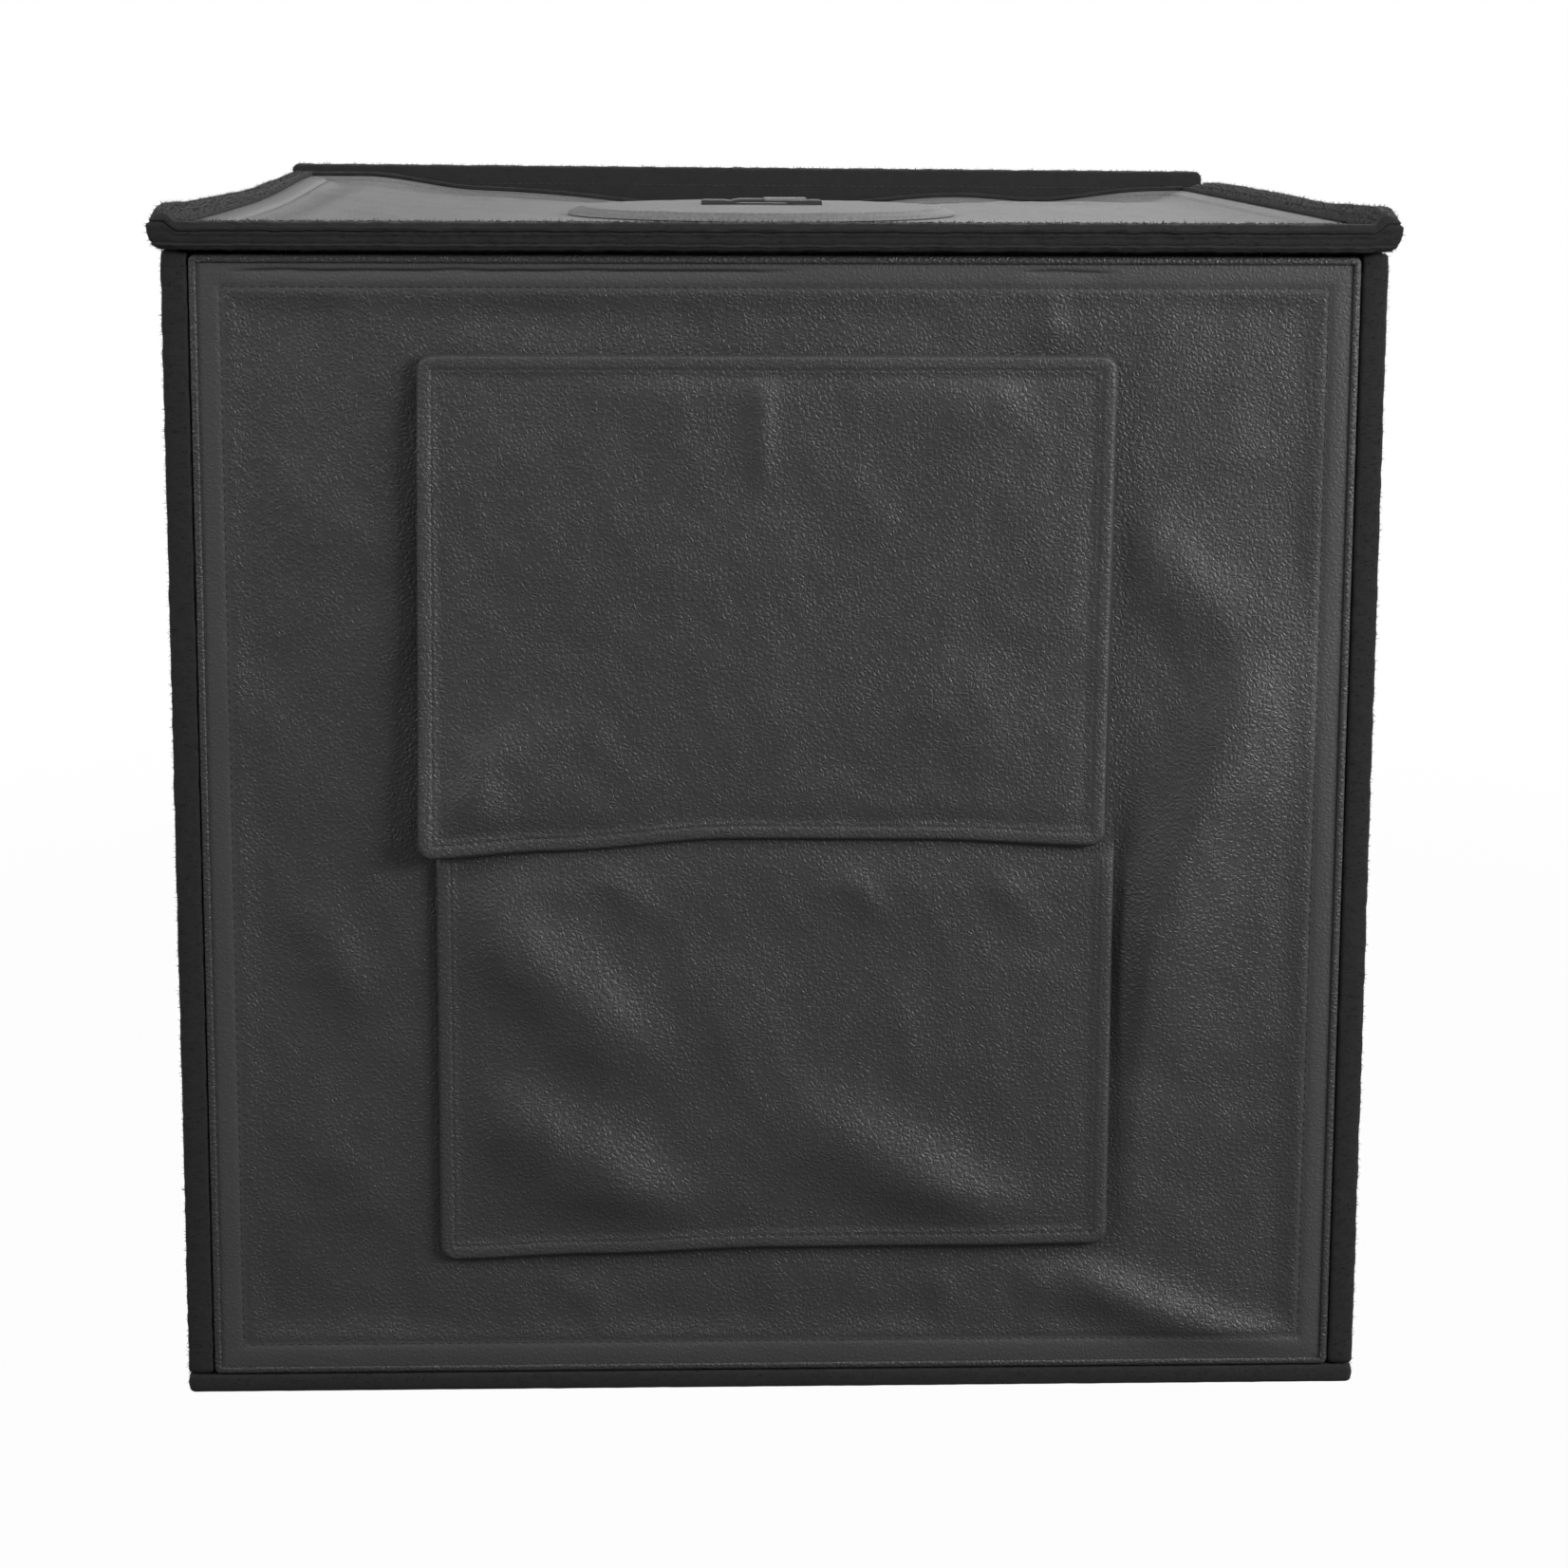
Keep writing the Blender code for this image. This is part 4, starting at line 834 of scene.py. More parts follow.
def add_sheet(name, panel, us, vs, outer, thick, finish_name, hole=None, shape=None, mark=None):
    """A sheet of cloth as a closed mesh over the cells of a grid in a panel's plane.

    outer(u, v) is the level of its outer face and thick(u, v) its thickness, hole(u, v) is true in a
    cut-out, shape(u, v) moves the grid in its plane and mark(u, v) is 1 where the cloth is sewn."""
    numbers = {}
    points, places, marks, faces = [], [], [], []

    def corner(i, j):
        if (i, j) not in numbers:
            u, v = shape(us[i], vs[j]) if shape else (us[i], vs[j])
            level = outer(u, v)
            numbers[i, j] = len(points)
            points.append(panel.at(u, v, level))
            points.append(panel.at(u, v, level - thick(u, v)))
            places.extend(((u, v), (u, v)))
            marks.extend([mark(u, v) if mark else 0.0] * 2)
        return numbers[i, j]

    cells = set()
    for i in range(len(us) - 1):
        for j in range(len(vs) - 1):
            middle = (us[i] + us[i + 1]) / 2, (vs[j] + vs[j + 1]) / 2
            if not (hole and hole(*middle)):
                cells.add((i, j))
    for i, j in sorted(cells):
        ring = [corner(i, j), corner(i + 1, j), corner(i + 1, j + 1), corner(i, j + 1)]
        faces.append(ring)
        faces.append([number + 1 for number in reversed(ring)])
        beside = ((i, j - 1), (i + 1, j), (i, j + 1), (i - 1, j))
        for side, cell in enumerate(beside):
            if cell not in cells:
                a, b = ring[side], ring[(side + 1) % 4]
                faces.append((b, a, a + 1, b + 1))
    corner_places = [places[number] for face in faces for number in face]
    mesh = mesh_from(name, points, faces, corner_places, marks)
    return add_object(name, mesh, finish_name)


def rim_stations(rectangle, radius, step):
    """Places round a rectangle with rounded corners, each a function from an inset to (u, v)."""
    left, right, bottom, top = rectangle
    stations = []

    def straight(start, run, length, along):
        def place(inset):
            here = min(max(along, inset), length - inset)
            return start[0] + run[0] * here - run[1] * inset, start[1] + run[1] * here + run[0] * inset

        return place

    def arc(start, run, length, angle):
        centre_u = start[0] + run[0] * (length - radius) - run[1] * radius
        centre_v = start[1] + run[1] * (length - radius) + run[0] * radius
        side, ahead = math.cos(angle), math.sin(angle)

        def place(inset):
            reach = radius - inset
            share_side, share_ahead = (side, ahead) if reach > 0 else (1, 1)
            du = run[1] * share_side + run[0] * share_ahead
            dv = -run[0] * share_side + run[1] * share_ahead
            return centre_u + du * reach, centre_v + dv * reach

        return place

    sides = (
        ((left, bottom), (1, 0), right - left), ((right, bottom), (0, 1), top - bottom),
        ((right, top), (-1, 0), right - left), ((left, top), (0, -1), top - bottom),
    )
    for start, run, length in sides:
        for along in spaced(radius, length - radius, step):
            stations.append(straight(start, run, length, along))
        for turn in range(1, CORNER_STEPS):
            stations.append(arc(start, run, length, math.pi / 2 * turn / CORNER_STEPS))
    return stations


def swept_rim(name, panel, rectangle, radius, section, step, warp=None, closed=True):
    """A section of (inset, n) points swept round a rectangle, as a mesh. warp bends its points."""
    stations = rim_stations(rectangle, radius, step)
    points, around, along, faces, corner_places = [], [0.0], [0.0], [], []
    for first, second in zip(section, section[1:] + section[:1]):
        around.append(around[-1] + math.dist(first, second))
    for place in stations:
        for inset, n in section:
            u, v = place(inset)
            if warp:
                u, v, n = warp(u, v, n)
            points.append(panel.at(u, v, n))
    count = len(section)
    for here, there in zip(stations, stations[1:] + stations[:1]):
        along.append(along[-1] + math.dist(here(0), there(0)))
    for k in range(len(stations)):
        for m in range(count if closed else count - 1):
            after = (m + 1) % count
            beyond = (k + 1) % len(stations)
            here, there = k * count, beyond * count
            faces.append((here + m, here + after, there + after, there + m))
            corner_places += [
                (along[k], around[m]), (along[k], around[m + 1]),
                (along[k + 1], around[m + 1]), (along[k + 1], around[m]),
            ]
    mesh = mesh_from(name, points, faces, corner_places)
    merge_points(mesh)
    return mesh


def folded_tape(thickness, wall, leg, inner_leg, fold=1.3 * MM, bulge=0.35 * MM, web=()):
    """The section of a tape folded round a panel's edge.

    web has extra (depth, inset) points for the tape's outside."""
    outside = [(leg, -0.2 * MM), (leg - 0.3 * MM, 0.0), ((leg + fold) / 2, 0.12 * MM)]
    for step in range(5):
        angle = math.pi / 2 * step / 4
        outside.append((fold - fold * math.sin(angle), -fold + fold * math.cos(angle)))
    outside += [(inset, -depth) for depth, inset in web] or [(-bulge, -thickness / 2)]
    for step in range(5):
        angle = math.pi / 2 * step / 4
        outside.append((fold - fold * math.cos(angle), fold - thickness - fold * math.sin(angle)))
    outside += [
        ((inner_leg + fold) / 2, -thickness - 0.12 * MM), (inner_leg - 0.3 * MM, -thickness),
        (inner_leg, 0.2 * MM - thickness),
    ]
    inside = [
        (inner_leg, wall - thickness), (2 * wall, wall - thickness), (wall, 2 * wall - thickness),
        (wall, -thickness / 2), (wall, -2 * wall), (2 * wall, -wall), (leg, -wall),
    ]
    return outside, inside


def uneven(seed, amount=0.22 * MM, pitch=7 * MM):
    """A warp that makes a tape's outline a little uneven."""

    def warp(u, v, n):
        place = Vector((u / pitch, v / pitch, n / pitch + seed))
        return (
            u + amount * noise.noise(place), v + amount * noise.noise(place + Vector((17, 0, 0))),
            n + amount * noise.noise(place + Vector((0, 23, 0))),
        )

    return warp


def in_turn(*warps):
    """Several warps, one after the other."""

    def warp(u, v, n):
        for one in warps:
            u, v, n = one(u, v, n)
        return u, v, n

    return warp


class Growth:
    """A geometry node tree whose sizes are the named inputs of its modifier."""

    def __init__(self, name, sizes):
        self.tree = bpy.data.node_groups.new(name, "GeometryNodeTree")
        self.tree.interface.new_socket("Geometry", in_out="INPUT", socket_type="NodeSocketGeometry")
        self.identifiers = {}
        for label, default in sizes.items():
            kind = "NodeSocketMaterial" if default is None else "NodeSocketFloat"
            socket = self.tree.interface.new_socket(label, in_out="INPUT", socket_type=kind)
            if default is not None:
                socket.default_value = default
            self.identifiers[label] = socket.identifier
        self.tree.interface.new_socket("Geometry", in_out="OUTPUT", socket_type="NodeSocketGeometry")
        self.start = self.tree.nodes.new("NodeGroupInput")
        self.end = self.tree.nodes.new("NodeGroupOutput")

    def size(self, label):
        return next(socket for socket in self.start.outputs if socket.name == label)

    def node(self, kind, settings, values, output=0):
        """Adds a node with its settings, then its values and links, and gives one of its outputs."""
        made = self.tree.nodes.new(kind)
        for key, value in settings.items():
            setattr(made, key, value)
        for key, value in values.items():
            socket = made.inputs[key]
            if isinstance(value, bpy.types.NodeSocket):
                self.tree.links.new(value, socket)
            else:
                socket.default_value = value
        return made.outputs[output]

    def scaled(self, first, second):
        return self.node("ShaderNodeMath", {"operation": "MULTIPLY"}, {0: first, 1: second})

    def give(self, geometry):
        """Ends the tree: real geometry with its finish."""
        real = self.node("GeometryNodeRealizeInstances", {}, {0: geometry})
        painted = self.node(
            "GeometryNodeSetMaterial", {}, {"Geometry": real, "Material": self.size("Finish")}
        )
        self.tree.links.new(painted, self.end.inputs[0])
        return self


@functools.cache
def stitching():
    """Stitches along the edges of a mesh: a bead on each point of the resampled line."""
    sizes = {"Pitch": 3.2 * MM, "Length": 2.5 * MM, "Thread": 0.4 * MM, "Finish": None}
    growth = Growth("stitching", sizes)
    line = growth.node("GeometryNodeMeshToCurve", {}, {"Mesh": growth.size("Geometry")})
    places = growth.node(
        "GeometryNodeResampleCurve", {"mode": "LENGTH"}, {"Curve": line, "Length": growth.size("Pitch")}
    )
    tangent = growth.node("GeometryNodeInputTangent", {}, {})
    turn = growth.node("FunctionNodeAlignRotationToVector", {"axis": "X"}, {"Vector": tangent})
    bead = growth.node("GeometryNodeMeshIcoSphere", {}, {"Radius": 0.5, "Subdivisions": 1})
    size = growth.node(
        "ShaderNodeCombineXYZ", {},
        {"X": growth.size("Length"), "Y": growth.size("Thread"), "Z": growth.size("Thread")},
    )
    beads = growth.node(
        "GeometryNodeInstanceOnPoints", {},
        {"Points": places, "Instance": bead, "Rotation": turn, "Scale": size},
    )
    return growth.give(beads)


@functools.cache
def napping():
    """Short loose fibres spread over a surface, each leaning its own way."""
    growth = Growth("napping", {"Density": 1.0, "Length": 1 * MM, "Width": 0.1 * MM, "Finish": None})
    spots = growth.tree.nodes.new("GeometryNodeDistributePointsOnFaces")
    growth.tree.links.new(growth.size("Geometry"), spots.inputs["Mesh"])
    growth.tree.links.new(growth.size("Density"), spots.inputs["Density"])
    spots.inputs["Seed"].default_value = 11
    lean = growth.node(
        "FunctionNodeRandomValue", {"data_type": "FLOAT_VECTOR"},
        {"Min": (-1.1, -1.1, 0), "Max": (1.1, 1.1, 6.2), "Seed": 5},
    )
    leaning = growth.node("FunctionNodeEulerToRotation", {}, {0: lean})
    turn = growth.node(
        "FunctionNodeRotateRotation", {"rotation_space": "LOCAL"},
        {"Rotation": spots.outputs["Rotation"], "Rotate By": leaning},
    )
    strand = growth.node(
        "GeometryNodeMeshCone", {"fill_type": "TRIANGLE_FAN"},
        {
            "Vertices": 3, "Side Segments": 1, "Fill Segments": 1, "Radius Top": 0.0,
            "Radius Bottom": growth.scaled(growth.size("Width"), 0.5), "Depth": growth.size("Length"),
        },
    )
    size = growth.node(
        "FunctionNodeRandomValue", {"data_type": "FLOAT"}, {"Min": 0.45, "Max": 1.25, "Seed": 3}, 1
    )
    strands = growth.node(
        "GeometryNodeInstanceOnPoints", {},
        {"Points": spots.outputs["Points"], "Instance": strand, "Rotation": turn, "Scale": size},
    )
    return growth.give(strands)


def screw_placing():
    """A round screw head, a low cone, on each point of a mesh."""
    growth = Growth("screw_placing", {"Width": 3 * MM, "Height": 0.6 * MM, "Finish": None})
    points = growth.node("GeometryNodeMeshToPoints", {}, {"Mesh": growth.size("Geometry")})
    turn = growth.node("FunctionNodeEulerToRotation", {}, {0: (0, math.pi / 2, 0)})
    head = growth.node(
        "GeometryNodeMeshCone", {},
        {
            "Vertices": 16, "Side Segments": 2, "Fill Segments": 1,
            "Radius Top": growth.scaled(growth.size("Width"), 0.38),
            "Radius Bottom": growth.scaled(growth.size("Width"), 0.5), "Depth": growth.size("Height"),
        },
    )
    heads = growth.node(
        "GeometryNodeInstanceOnPoints", {}, {"Points": points, "Instance": head, "Rotation": turn}
    )
    return growth.give(heads)


def grown(name, base, growth, values, finish_name):
    """The plain mesh that a node tree grows on a base mesh."""
    holder = put_in_scene(name + "_base", base)
    modifier = holder.modifiers.new("growth", "NODES")
    modifier.node_group = growth.tree
    for label, value in values.items():
        modifier[growth.identifiers[label]] = value
    modifier[growth.identifiers["Finish"]] = finish(finish_name)
    mesh = plain_mesh(holder)
    mesh.name = name
    return add_object(name, mesh, finish_name)


def line_mesh(name, lines):
    """A mesh of edges only, from closed or open lines of points."""
    points, edges = [], []
    for line, closed in lines:
        first = len(points)
        points += line
        count = len(line)
        edges += [(first + k, first + k + 1) for k in range(count - 1)]
        if closed:
            edges.append((first + count - 1, first))
    mesh = bpy.data.meshes.new(name)
    mesh.from_pydata(points, edges, [])
    return mesh


def add_stitches(name, body, lines, slot, finish_name="black_thread"):
    """The stitches along the lines of one body, as one piece."""
    sewing = bpy.context.scene.light_tent_sewing
    values = {
        "Pitch": sewing.stitch_pitch, "Length": sewing.stitch_length, "Thread": sewing.thread,
    }
    piece = grown(name, line_mesh(name + "_lines", lines), stitching(), values, finish_name)
    return settle(piece, body, slot)


def add_fuzz(name, body, surface):
    """The loose fibres that stand on a tape's surface."""
    sewing = bpy.context.scene.light_tent_sewing
    values = {
        "Density": sewing.fuzz_density, "Length": sewing.fuzz_length, "Width": sewing.fuzz_width,
    }
    piece = grown(name, surface, napping(), values, "black_fibre")
    return settle(piece, body, "black_binding")


def rim_line(panel, rectangle, radius, inset, level, warp=None):
    """A closed line of points round a panel at an inset."""
    line = []
    for place in rim_stations(rectangle, radius, 3 * MM):
        u, v = place(inset)
        n = level(u, v)
        if warp:
            u, v, n = warp(u, v, n)
        if not line or (panel.at(u, v, n) - line[-1]).length > 0.2 * MM:
            line.append(panel.at(u, v, n))
    return line, True


def cover_near(panel):
    """Grid stops inside a cover's edge, closer together where the hem is sewn."""
    near = [panel.edge]
    near += spaced(panel.leg - 0.6 * MM, panel.seam - 2.4 * MM, 1.6 * MM)
    near += spaced(panel.seam - 1.6 * MM, panel.hem_end + 3.2 * MM, 0.7 * MM)
    return near


def even(thickness):
    """The same thickness all over a cloth."""
    return lambda u, v: thickness


def top_crease(u, v):
    """A wandering crease under the door's top rod, where the cloth is drawn in."""
    below = DOOR.height - v - (5.1 + 0.5 * ripple(u, 0, 14, 52)) * MM
    reach = smooth_step((u + 180 * MM) / (14 * MM)) * smooth_step((12 * MM - u) / (30 * MM))
    reach += 0.7 * smooth_step((u - 78 * MM) / (10 * MM)) * smooth_step((112 * MM - u) / (10 * MM))
    fade = math.exp(-below / (2.4 * MM)) if below > 0 else bump_at(below, 0, 0.5 * MM)
    return -1.1 * MM * reach * fade


def add_cover(
    panel, folds, seed, hole=None, shape=None, extra_us=(), extra_vs=(), calm=None, crease=lambda u, v: 0
):
    """The outer cloth of a panel."""
    cell = bpy.context.scene.light_tent_cloth.cell
    us = edge_lines(panel.left, panel.right, cover_near(panel), cell, extra_us)
    vs = edge_lines(0, panel.height, cover_near(panel), cell, extra_vs)
    piece = add_sheet(
        panel.name + "_outer_cloth", panel, us, vs,
        lambda u, v: panel.cover_level(u, v, folds, seed, calm) + crease(u, v), even(COVER_CLOTH),
        "black_leathercloth", hole, shape, panel.in_hem,
    )
    settle(piece, panel.name, "black_leathercloth", panel.name + "_cover")
    return piece


def add_lining(panel, seed, hole=None, shape=None, extra_us=(), extra_vs=()):
    """The silver cloth inside a panel."""
    cell = bpy.context.scene.light_tent_cloth.lining_cell
    near = (panel.edge, panel.leg, panel.hem_end, panel.hem_end + panel.slope)
    us = edge_lines(panel.left, panel.right, near, cell, extra_us)
    vs = edge_lines(0, panel.height, near, cell, extra_vs)
    piece = add_sheet(
        panel.name + "_inner_cloth", panel, us, vs, lambda u, v: panel.lining_level(u, v, seed),
        even(LINING_CLOTH), "silver_lining", hole, shape,
    )
    settle(piece, panel.name, "silver_lining", panel.name + "_lining")
    return piece


def stretched_sheet(piece, panel, cut_out=0.0):
    """Works out the width, length and area of a panel's cloth stretched on its rod, and does nothing with
    them.
    """
    width = panel.width - 2 * panel.edge
    length = panel.height - 2 * panel.edge
    area = width * length - cut_out if cut_out else None


def onto_circle(u, v, centre_u, centre_v, radius, reach):
    """Moves the grid round a square cut-out, up to reach, so that its edge becomes a circle."""
    du, dv = u - centre_u, v - centre_v
    square = max(abs(du), abs(dv))
    length = math.hypot(du, dv)
    if square >= reach or not length:
        return u, v
    share = (reach - square) / (reach - radius) if square > radius else 1
    factor = 1 + share * (square / length - 1)
    return centre_u + du * factor, centre_v + dv * factor


def window_rectangle():
    """The door's window, from the tape round its edge: left, right, bottom and top."""
    low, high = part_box("window_edge_tape")
    bottom, top = low.z - DOOR.origin.z, high.z - DOOR.origin.z
    return low.x + WINDOW_TAPE, high.x - WINDOW_TAPE, bottom + WINDOW_TAPE, top - WINDOW_TAPE


WINDOW_TAPE = 4.3 * MM
WINDOW = window_rectangle()
WINDOW_AREA = (WINDOW[1] - WINDOW[0]) * (WINDOW[3] - WINDOW[2])


def outside_window(u, v):
    """How far a place on the door lies outside its window, below zero inside it."""
    left, right, bottom, top = WINDOW
    return max(left - u, u - right, bottom - v, v - top)


def in_window(u, v):
    return outside_window(u, v) < 0


def door_calm(u, v):
    """Keeps the door's cloth flat round the window, where the flaps lie."""
    return smooth_step((outside_window(u, v) - 13 * MM) / (12 * MM))


@functools.cache
def eyelet_place():
    """The middle of the lead's eyelet, across and up the rear wall."""
    low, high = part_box("lead_eyelet")
    middle = (low + high) / 2
    return -middle.x, middle.z - REAR_WALL.origin.z


EYELET_BORE = 6 * MM
EYELET_HOLE = 7 * MM
EYELET_FLANGE = 10 * MM
EYELET_REACH = 22 * MM


def with_eyelet_hole(maker, *arguments, **options):
    """Makes a cloth of the rear wall with a round hole for the eyelet."""
    hole_u, hole_v = eyelet_place()
    stops = (-EYELET_REACH, -EYELET_HOLE, -EYELET_HOLE / 2, 0, EYELET_HOLE / 2, EYELET_HOLE, EYELET_REACH)
    piece = maker(
        REAR_WALL, *arguments,
        hole=lambda u, v: max(abs(u - hole_u), abs(v - hole_v)) < EYELET_HOLE,
        shape=lambda u, v: onto_circle(u, v, hole_u, hole_v, EYELET_HOLE, EYELET_REACH),
        extra_us=[hole_u + stop for stop in stops], extra_vs=[hole_v + stop for stop in stops],
        **options,
    )
    stretched_sheet(piece, REAR_WALL)
    return piece


def rear_calm(u, v):
    """Keeps the rear wall's cloth flat round the eyelet."""
    hole_u, hole_v = eyelet_place()
    return smooth_step((math.hypot(u - hole_u, v - hole_v) - 12 * MM) / (14 * MM))


RIGHT_FOLDS = [
    (-from_u, from_v, -to_u, to_v, spread, rise) for from_u, from_v, to_u, to_v, spread, rise in SIDE_FOLDS
]
LEFT_SEED, RIGHT_SEED, REAR_SEED, DOOR_SEED = 1, 2, 3, 4


class LightTentWallCovers(bpy.types.Operator):
    """Make the outer cloths of the base, the side walls and the rear wall"""

    bl_idname = "light_tent.wall_covers"
    bl_label = "Wall covers"

    def execute(self, context):
        stretched_sheet(add_cover(LEFT_WALL, SIDE_FOLDS, LEFT_SEED), LEFT_WALL)
        stretched_sheet(add_cover(RIGHT_WALL, RIGHT_FOLDS, RIGHT_SEED), RIGHT_WALL)
        with_eyelet_hole(add_cover, REAR_FOLDS, REAR_SEED, calm=rear_calm)
        add_base_cover()
        return {"FINISHED"}


def add_base_cover():
    """The cloth under the base, tight over its board."""
    near = (BASE.edge, BASE.leg, BASE.seam, BASE.hem_end)
    us = edge_lines(BASE.left, BASE.right, near, 6 * MM)
    vs = edge_lines(0, BASE.height, near, 6 * MM)

    def outer(u, v):
        return BASE.cover_hem - 0.12 * MM * abs(ripple(u, v, 40, 70))

    piece = add_sheet(
        "base_outer_cloth", BASE, us, vs, outer, even(COVER_CLOTH), "black_leathercloth", mark=BASE.in_hem
    )
    settle(piece, "base", "black_leathercloth", "base_cover")
    stretched_sheet(piece, BASE)


class LightTentDoorCover(bpy.types.Operator):
    """Make the door's outer cloth, with its window cut out"""

    bl_idname = "light_tent.door_cover"
    bl_label = "Door cover"

    def execute(self, context):
        crease_stops = [DOOR.height - stop for stop in spaced(3.4 * MM, 8 * MM, 0.5 * MM)]
        piece = add_cover(
            DOOR, DOOR_FOLDS, DOOR_SEED, hole=in_window, extra_us=WINDOW[:2],
            extra_vs=[*WINDOW[2:], *crease_stops], calm=door_calm, crease=top_crease,
        )
        stretched_sheet(piece, DOOR, WINDOW_AREA)
        return {"FINISHED"}


class LightTentLinings(bpy.types.Operator):
    """Make the silver cloths inside the panels"""

    bl_idname = "light_tent.linings"
    bl_label = "Linings"

    def execute(self, context):
        stretched_sheet(add_lining(LEFT_WALL, 11), LEFT_WALL)
        stretched_sheet(add_lining(RIGHT_WALL, 12), RIGHT_WALL)
        with_eyelet_hole(add_lining, 13)
        door_lining = add_lining(DOOR, 14, hole=in_window, extra_us=WINDOW[:2], extra_vs=WINDOW[2:])
        stretched_sheet(door_lining, DOOR, WINDOW_AREA)
        add_base_lining()
        add_roof_lining()
        return {"FINISHED"}


def add_base_lining():
    """The silver cloth over the base's board."""
    near = (BASE.edge, BASE.leg, BASE.hem_end)
    us = edge_lines(BASE.left, BASE.right, near, 7 * MM)
    vs = edge_lines(0, BASE.height, near, 7 * MM)

    def outer(u, v):
        return BASE.lining_hem - 0.1 * MM * abs(ripple(u, v, 28, 74))

    piece = add_sheet("base_inner_cloth", BASE, us, vs, outer, even(LINING_CLOTH), "silver_lining")
    settle(piece, "base", "silver_lining", "base_lining")
    stretched_sheet(piece, BASE)


ROOF_ROD = 3.9 * MM
ROD_SIDE_ROOM = 0.4 * MM
ROD_CORNER_RADIUS = 12 * MM
ROOF_WINDOW_RADIUS = 62 * MM
ROOF_WINDOW_REACH = 78 * MM
ROOF_RING_WIDTH = 7 * MM
ROOF_CENTRE = ROOF.origin.y - (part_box("hatch_cloth")[0].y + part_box("hatch_cloth")[1].y) / 2


def roof_sag(u, v):
    """How far the roof hangs down between the walls at its rear."""
    past_hem = max(v - WALL_LEG - HEM_WIDTH, 0)
    fade = bump_at(past_hem, 0, SAG_REACH)
    second = 4.5 * MM * bump_at(u, -128 * MM, 30 * MM)
    return (REAR_SAG * bump_at(u, 0, SAG_HALF_WIDTH) + second) * fade


def roof_hang(u, v, n):
    """Bends the roof as it stands: hung down at the rear, and narrower there."""
    near_side = smooth_step((abs(u) - 150 * MM) / (46 * MM))
    narrower = REAR_NARROWING * max(1 - v / ROOF.height, 0) ** 1.2
    return u - math.copysign(narrower, u) * near_side, v, n - roof_sag(u, v)


def drawn_up(u, v):
    """How far the roof's rear left corner is drawn up by its own tape."""
    return DRAWN_UP * smooth_step((u - 118 * MM) / (50 * MM)) * bump_at(v, 0, 120 * MM)


def roof_cloth_shape(u, v, n):
    """Bends the roof's outer cloth as it stands."""
    hung_u, hung_v, hung_n = roof_hang(u, v, n)
    return hung_u, hung_v, hung_n + drawn_up(u, v)


def roof_shape(u, v, n):
    """Bends the roof's tape as it stands, with side rims that stand up off the cloth."""
    points = LEFT_RIM if u > 0 else RIGHT_RIM
    lift = along_points(v, points) * smooth_step((abs(u) - 194.2 * MM) / (4 * MM))
    lift = (lift + drawn_up(u, v)) * smooth_step((n + ROOF.thickness - 1.6 * MM) / (4.6 * MM))
    hung_u, hung_v, hung_n = roof_hang(u, v, n)
    return hung_u, hung_v, hung_n + lift


# How far the fuzzy side rims of the roof stand up, in millimetres, from the rear hinge edge forwards
LEFT_RIM = ((0, 0.4), (14, 0), (42, 0), (130, 1.2), (252, 2.9), (330, 3.6), (364, 4.9), (394, 3.0))
RIGHT_RIM = (
    (0, -0.5), (10, -0.5), (28, 1.6), (51, 3.0), (108, 3.4), (183, 3.4), (277, 2.8), (340, 4.2), (375, 5.0),
    (394, 3.2),
)


def roof_level(u, v):
    """The outer face of the roof's cloth before it is bent."""
    inset = ROOF.inset(u, v)
    share = smooth_step((inset - ROOF.leg) / (ROOF.hem_end + ROOF.slope - ROOF.leg))
    level = ROOF.cover_hem + (ROOF.cover_field - ROOF.cover_hem) * share
    level -= ROOF_GROOVE * bump_at(inset, ROOF.seam, GROOVE_HALF_WIDTH)
    field = smooth_step((inset - ROOF.hem_end) / HEM_WIDTH)
    from_window = math.hypot(u, v - ROOF_CENTRE) - 84 * MM
    calm = smooth_step(from_window / (16 * MM))
    pucker = ripple(u, v, 7, 81)
    level += 0.2 * MM * pucker * bump_at(inset, ROOF.seam, 5 * MM)
    folds = sum(ridge(u, v, fold) for fold in ROOF_FOLDS)
    return level + (0.8 * slack(u, v, 80) + folds) * field * calm


def roof_grid(cell, near):
    """Grid lines of the roof's cloths, with stops at the window."""
    reach, radius = ROOF_WINDOW_REACH, ROOF_WINDOW_RADIUS
    stops = [-reach, -radius, 0, radius, reach]
    us = edge_lines(ROOF.left, ROOF.right, near, cell, stops)
    vs = edge_lines(0, ROOF.height, near, cell, [ROOF_CENTRE + stop for stop in stops])
    return us, vs


def in_roof_window(u, v):
    return max(abs(u), abs(v - ROOF_CENTRE)) < ROOF_WINDOW_RADIUS


def round_roof_window(u, v):
    return onto_circle(u, v, 0, ROOF_CENTRE, ROOF_WINDOW_RADIUS, ROOF_WINDOW_REACH)


def bend_mesh(mesh, panel, shape):
    """Moves a mesh's points by a shape given in a panel's own directions."""
    for vertex in mesh.vertices:
        from_origin = vertex.co - panel.origin
        u, v, n = shape(
            from_origin.dot(panel.across), from_origin.dot(panel.away), from_origin.dot(panel.outward)
        )
        vertex.co = panel.at(u, v, n)


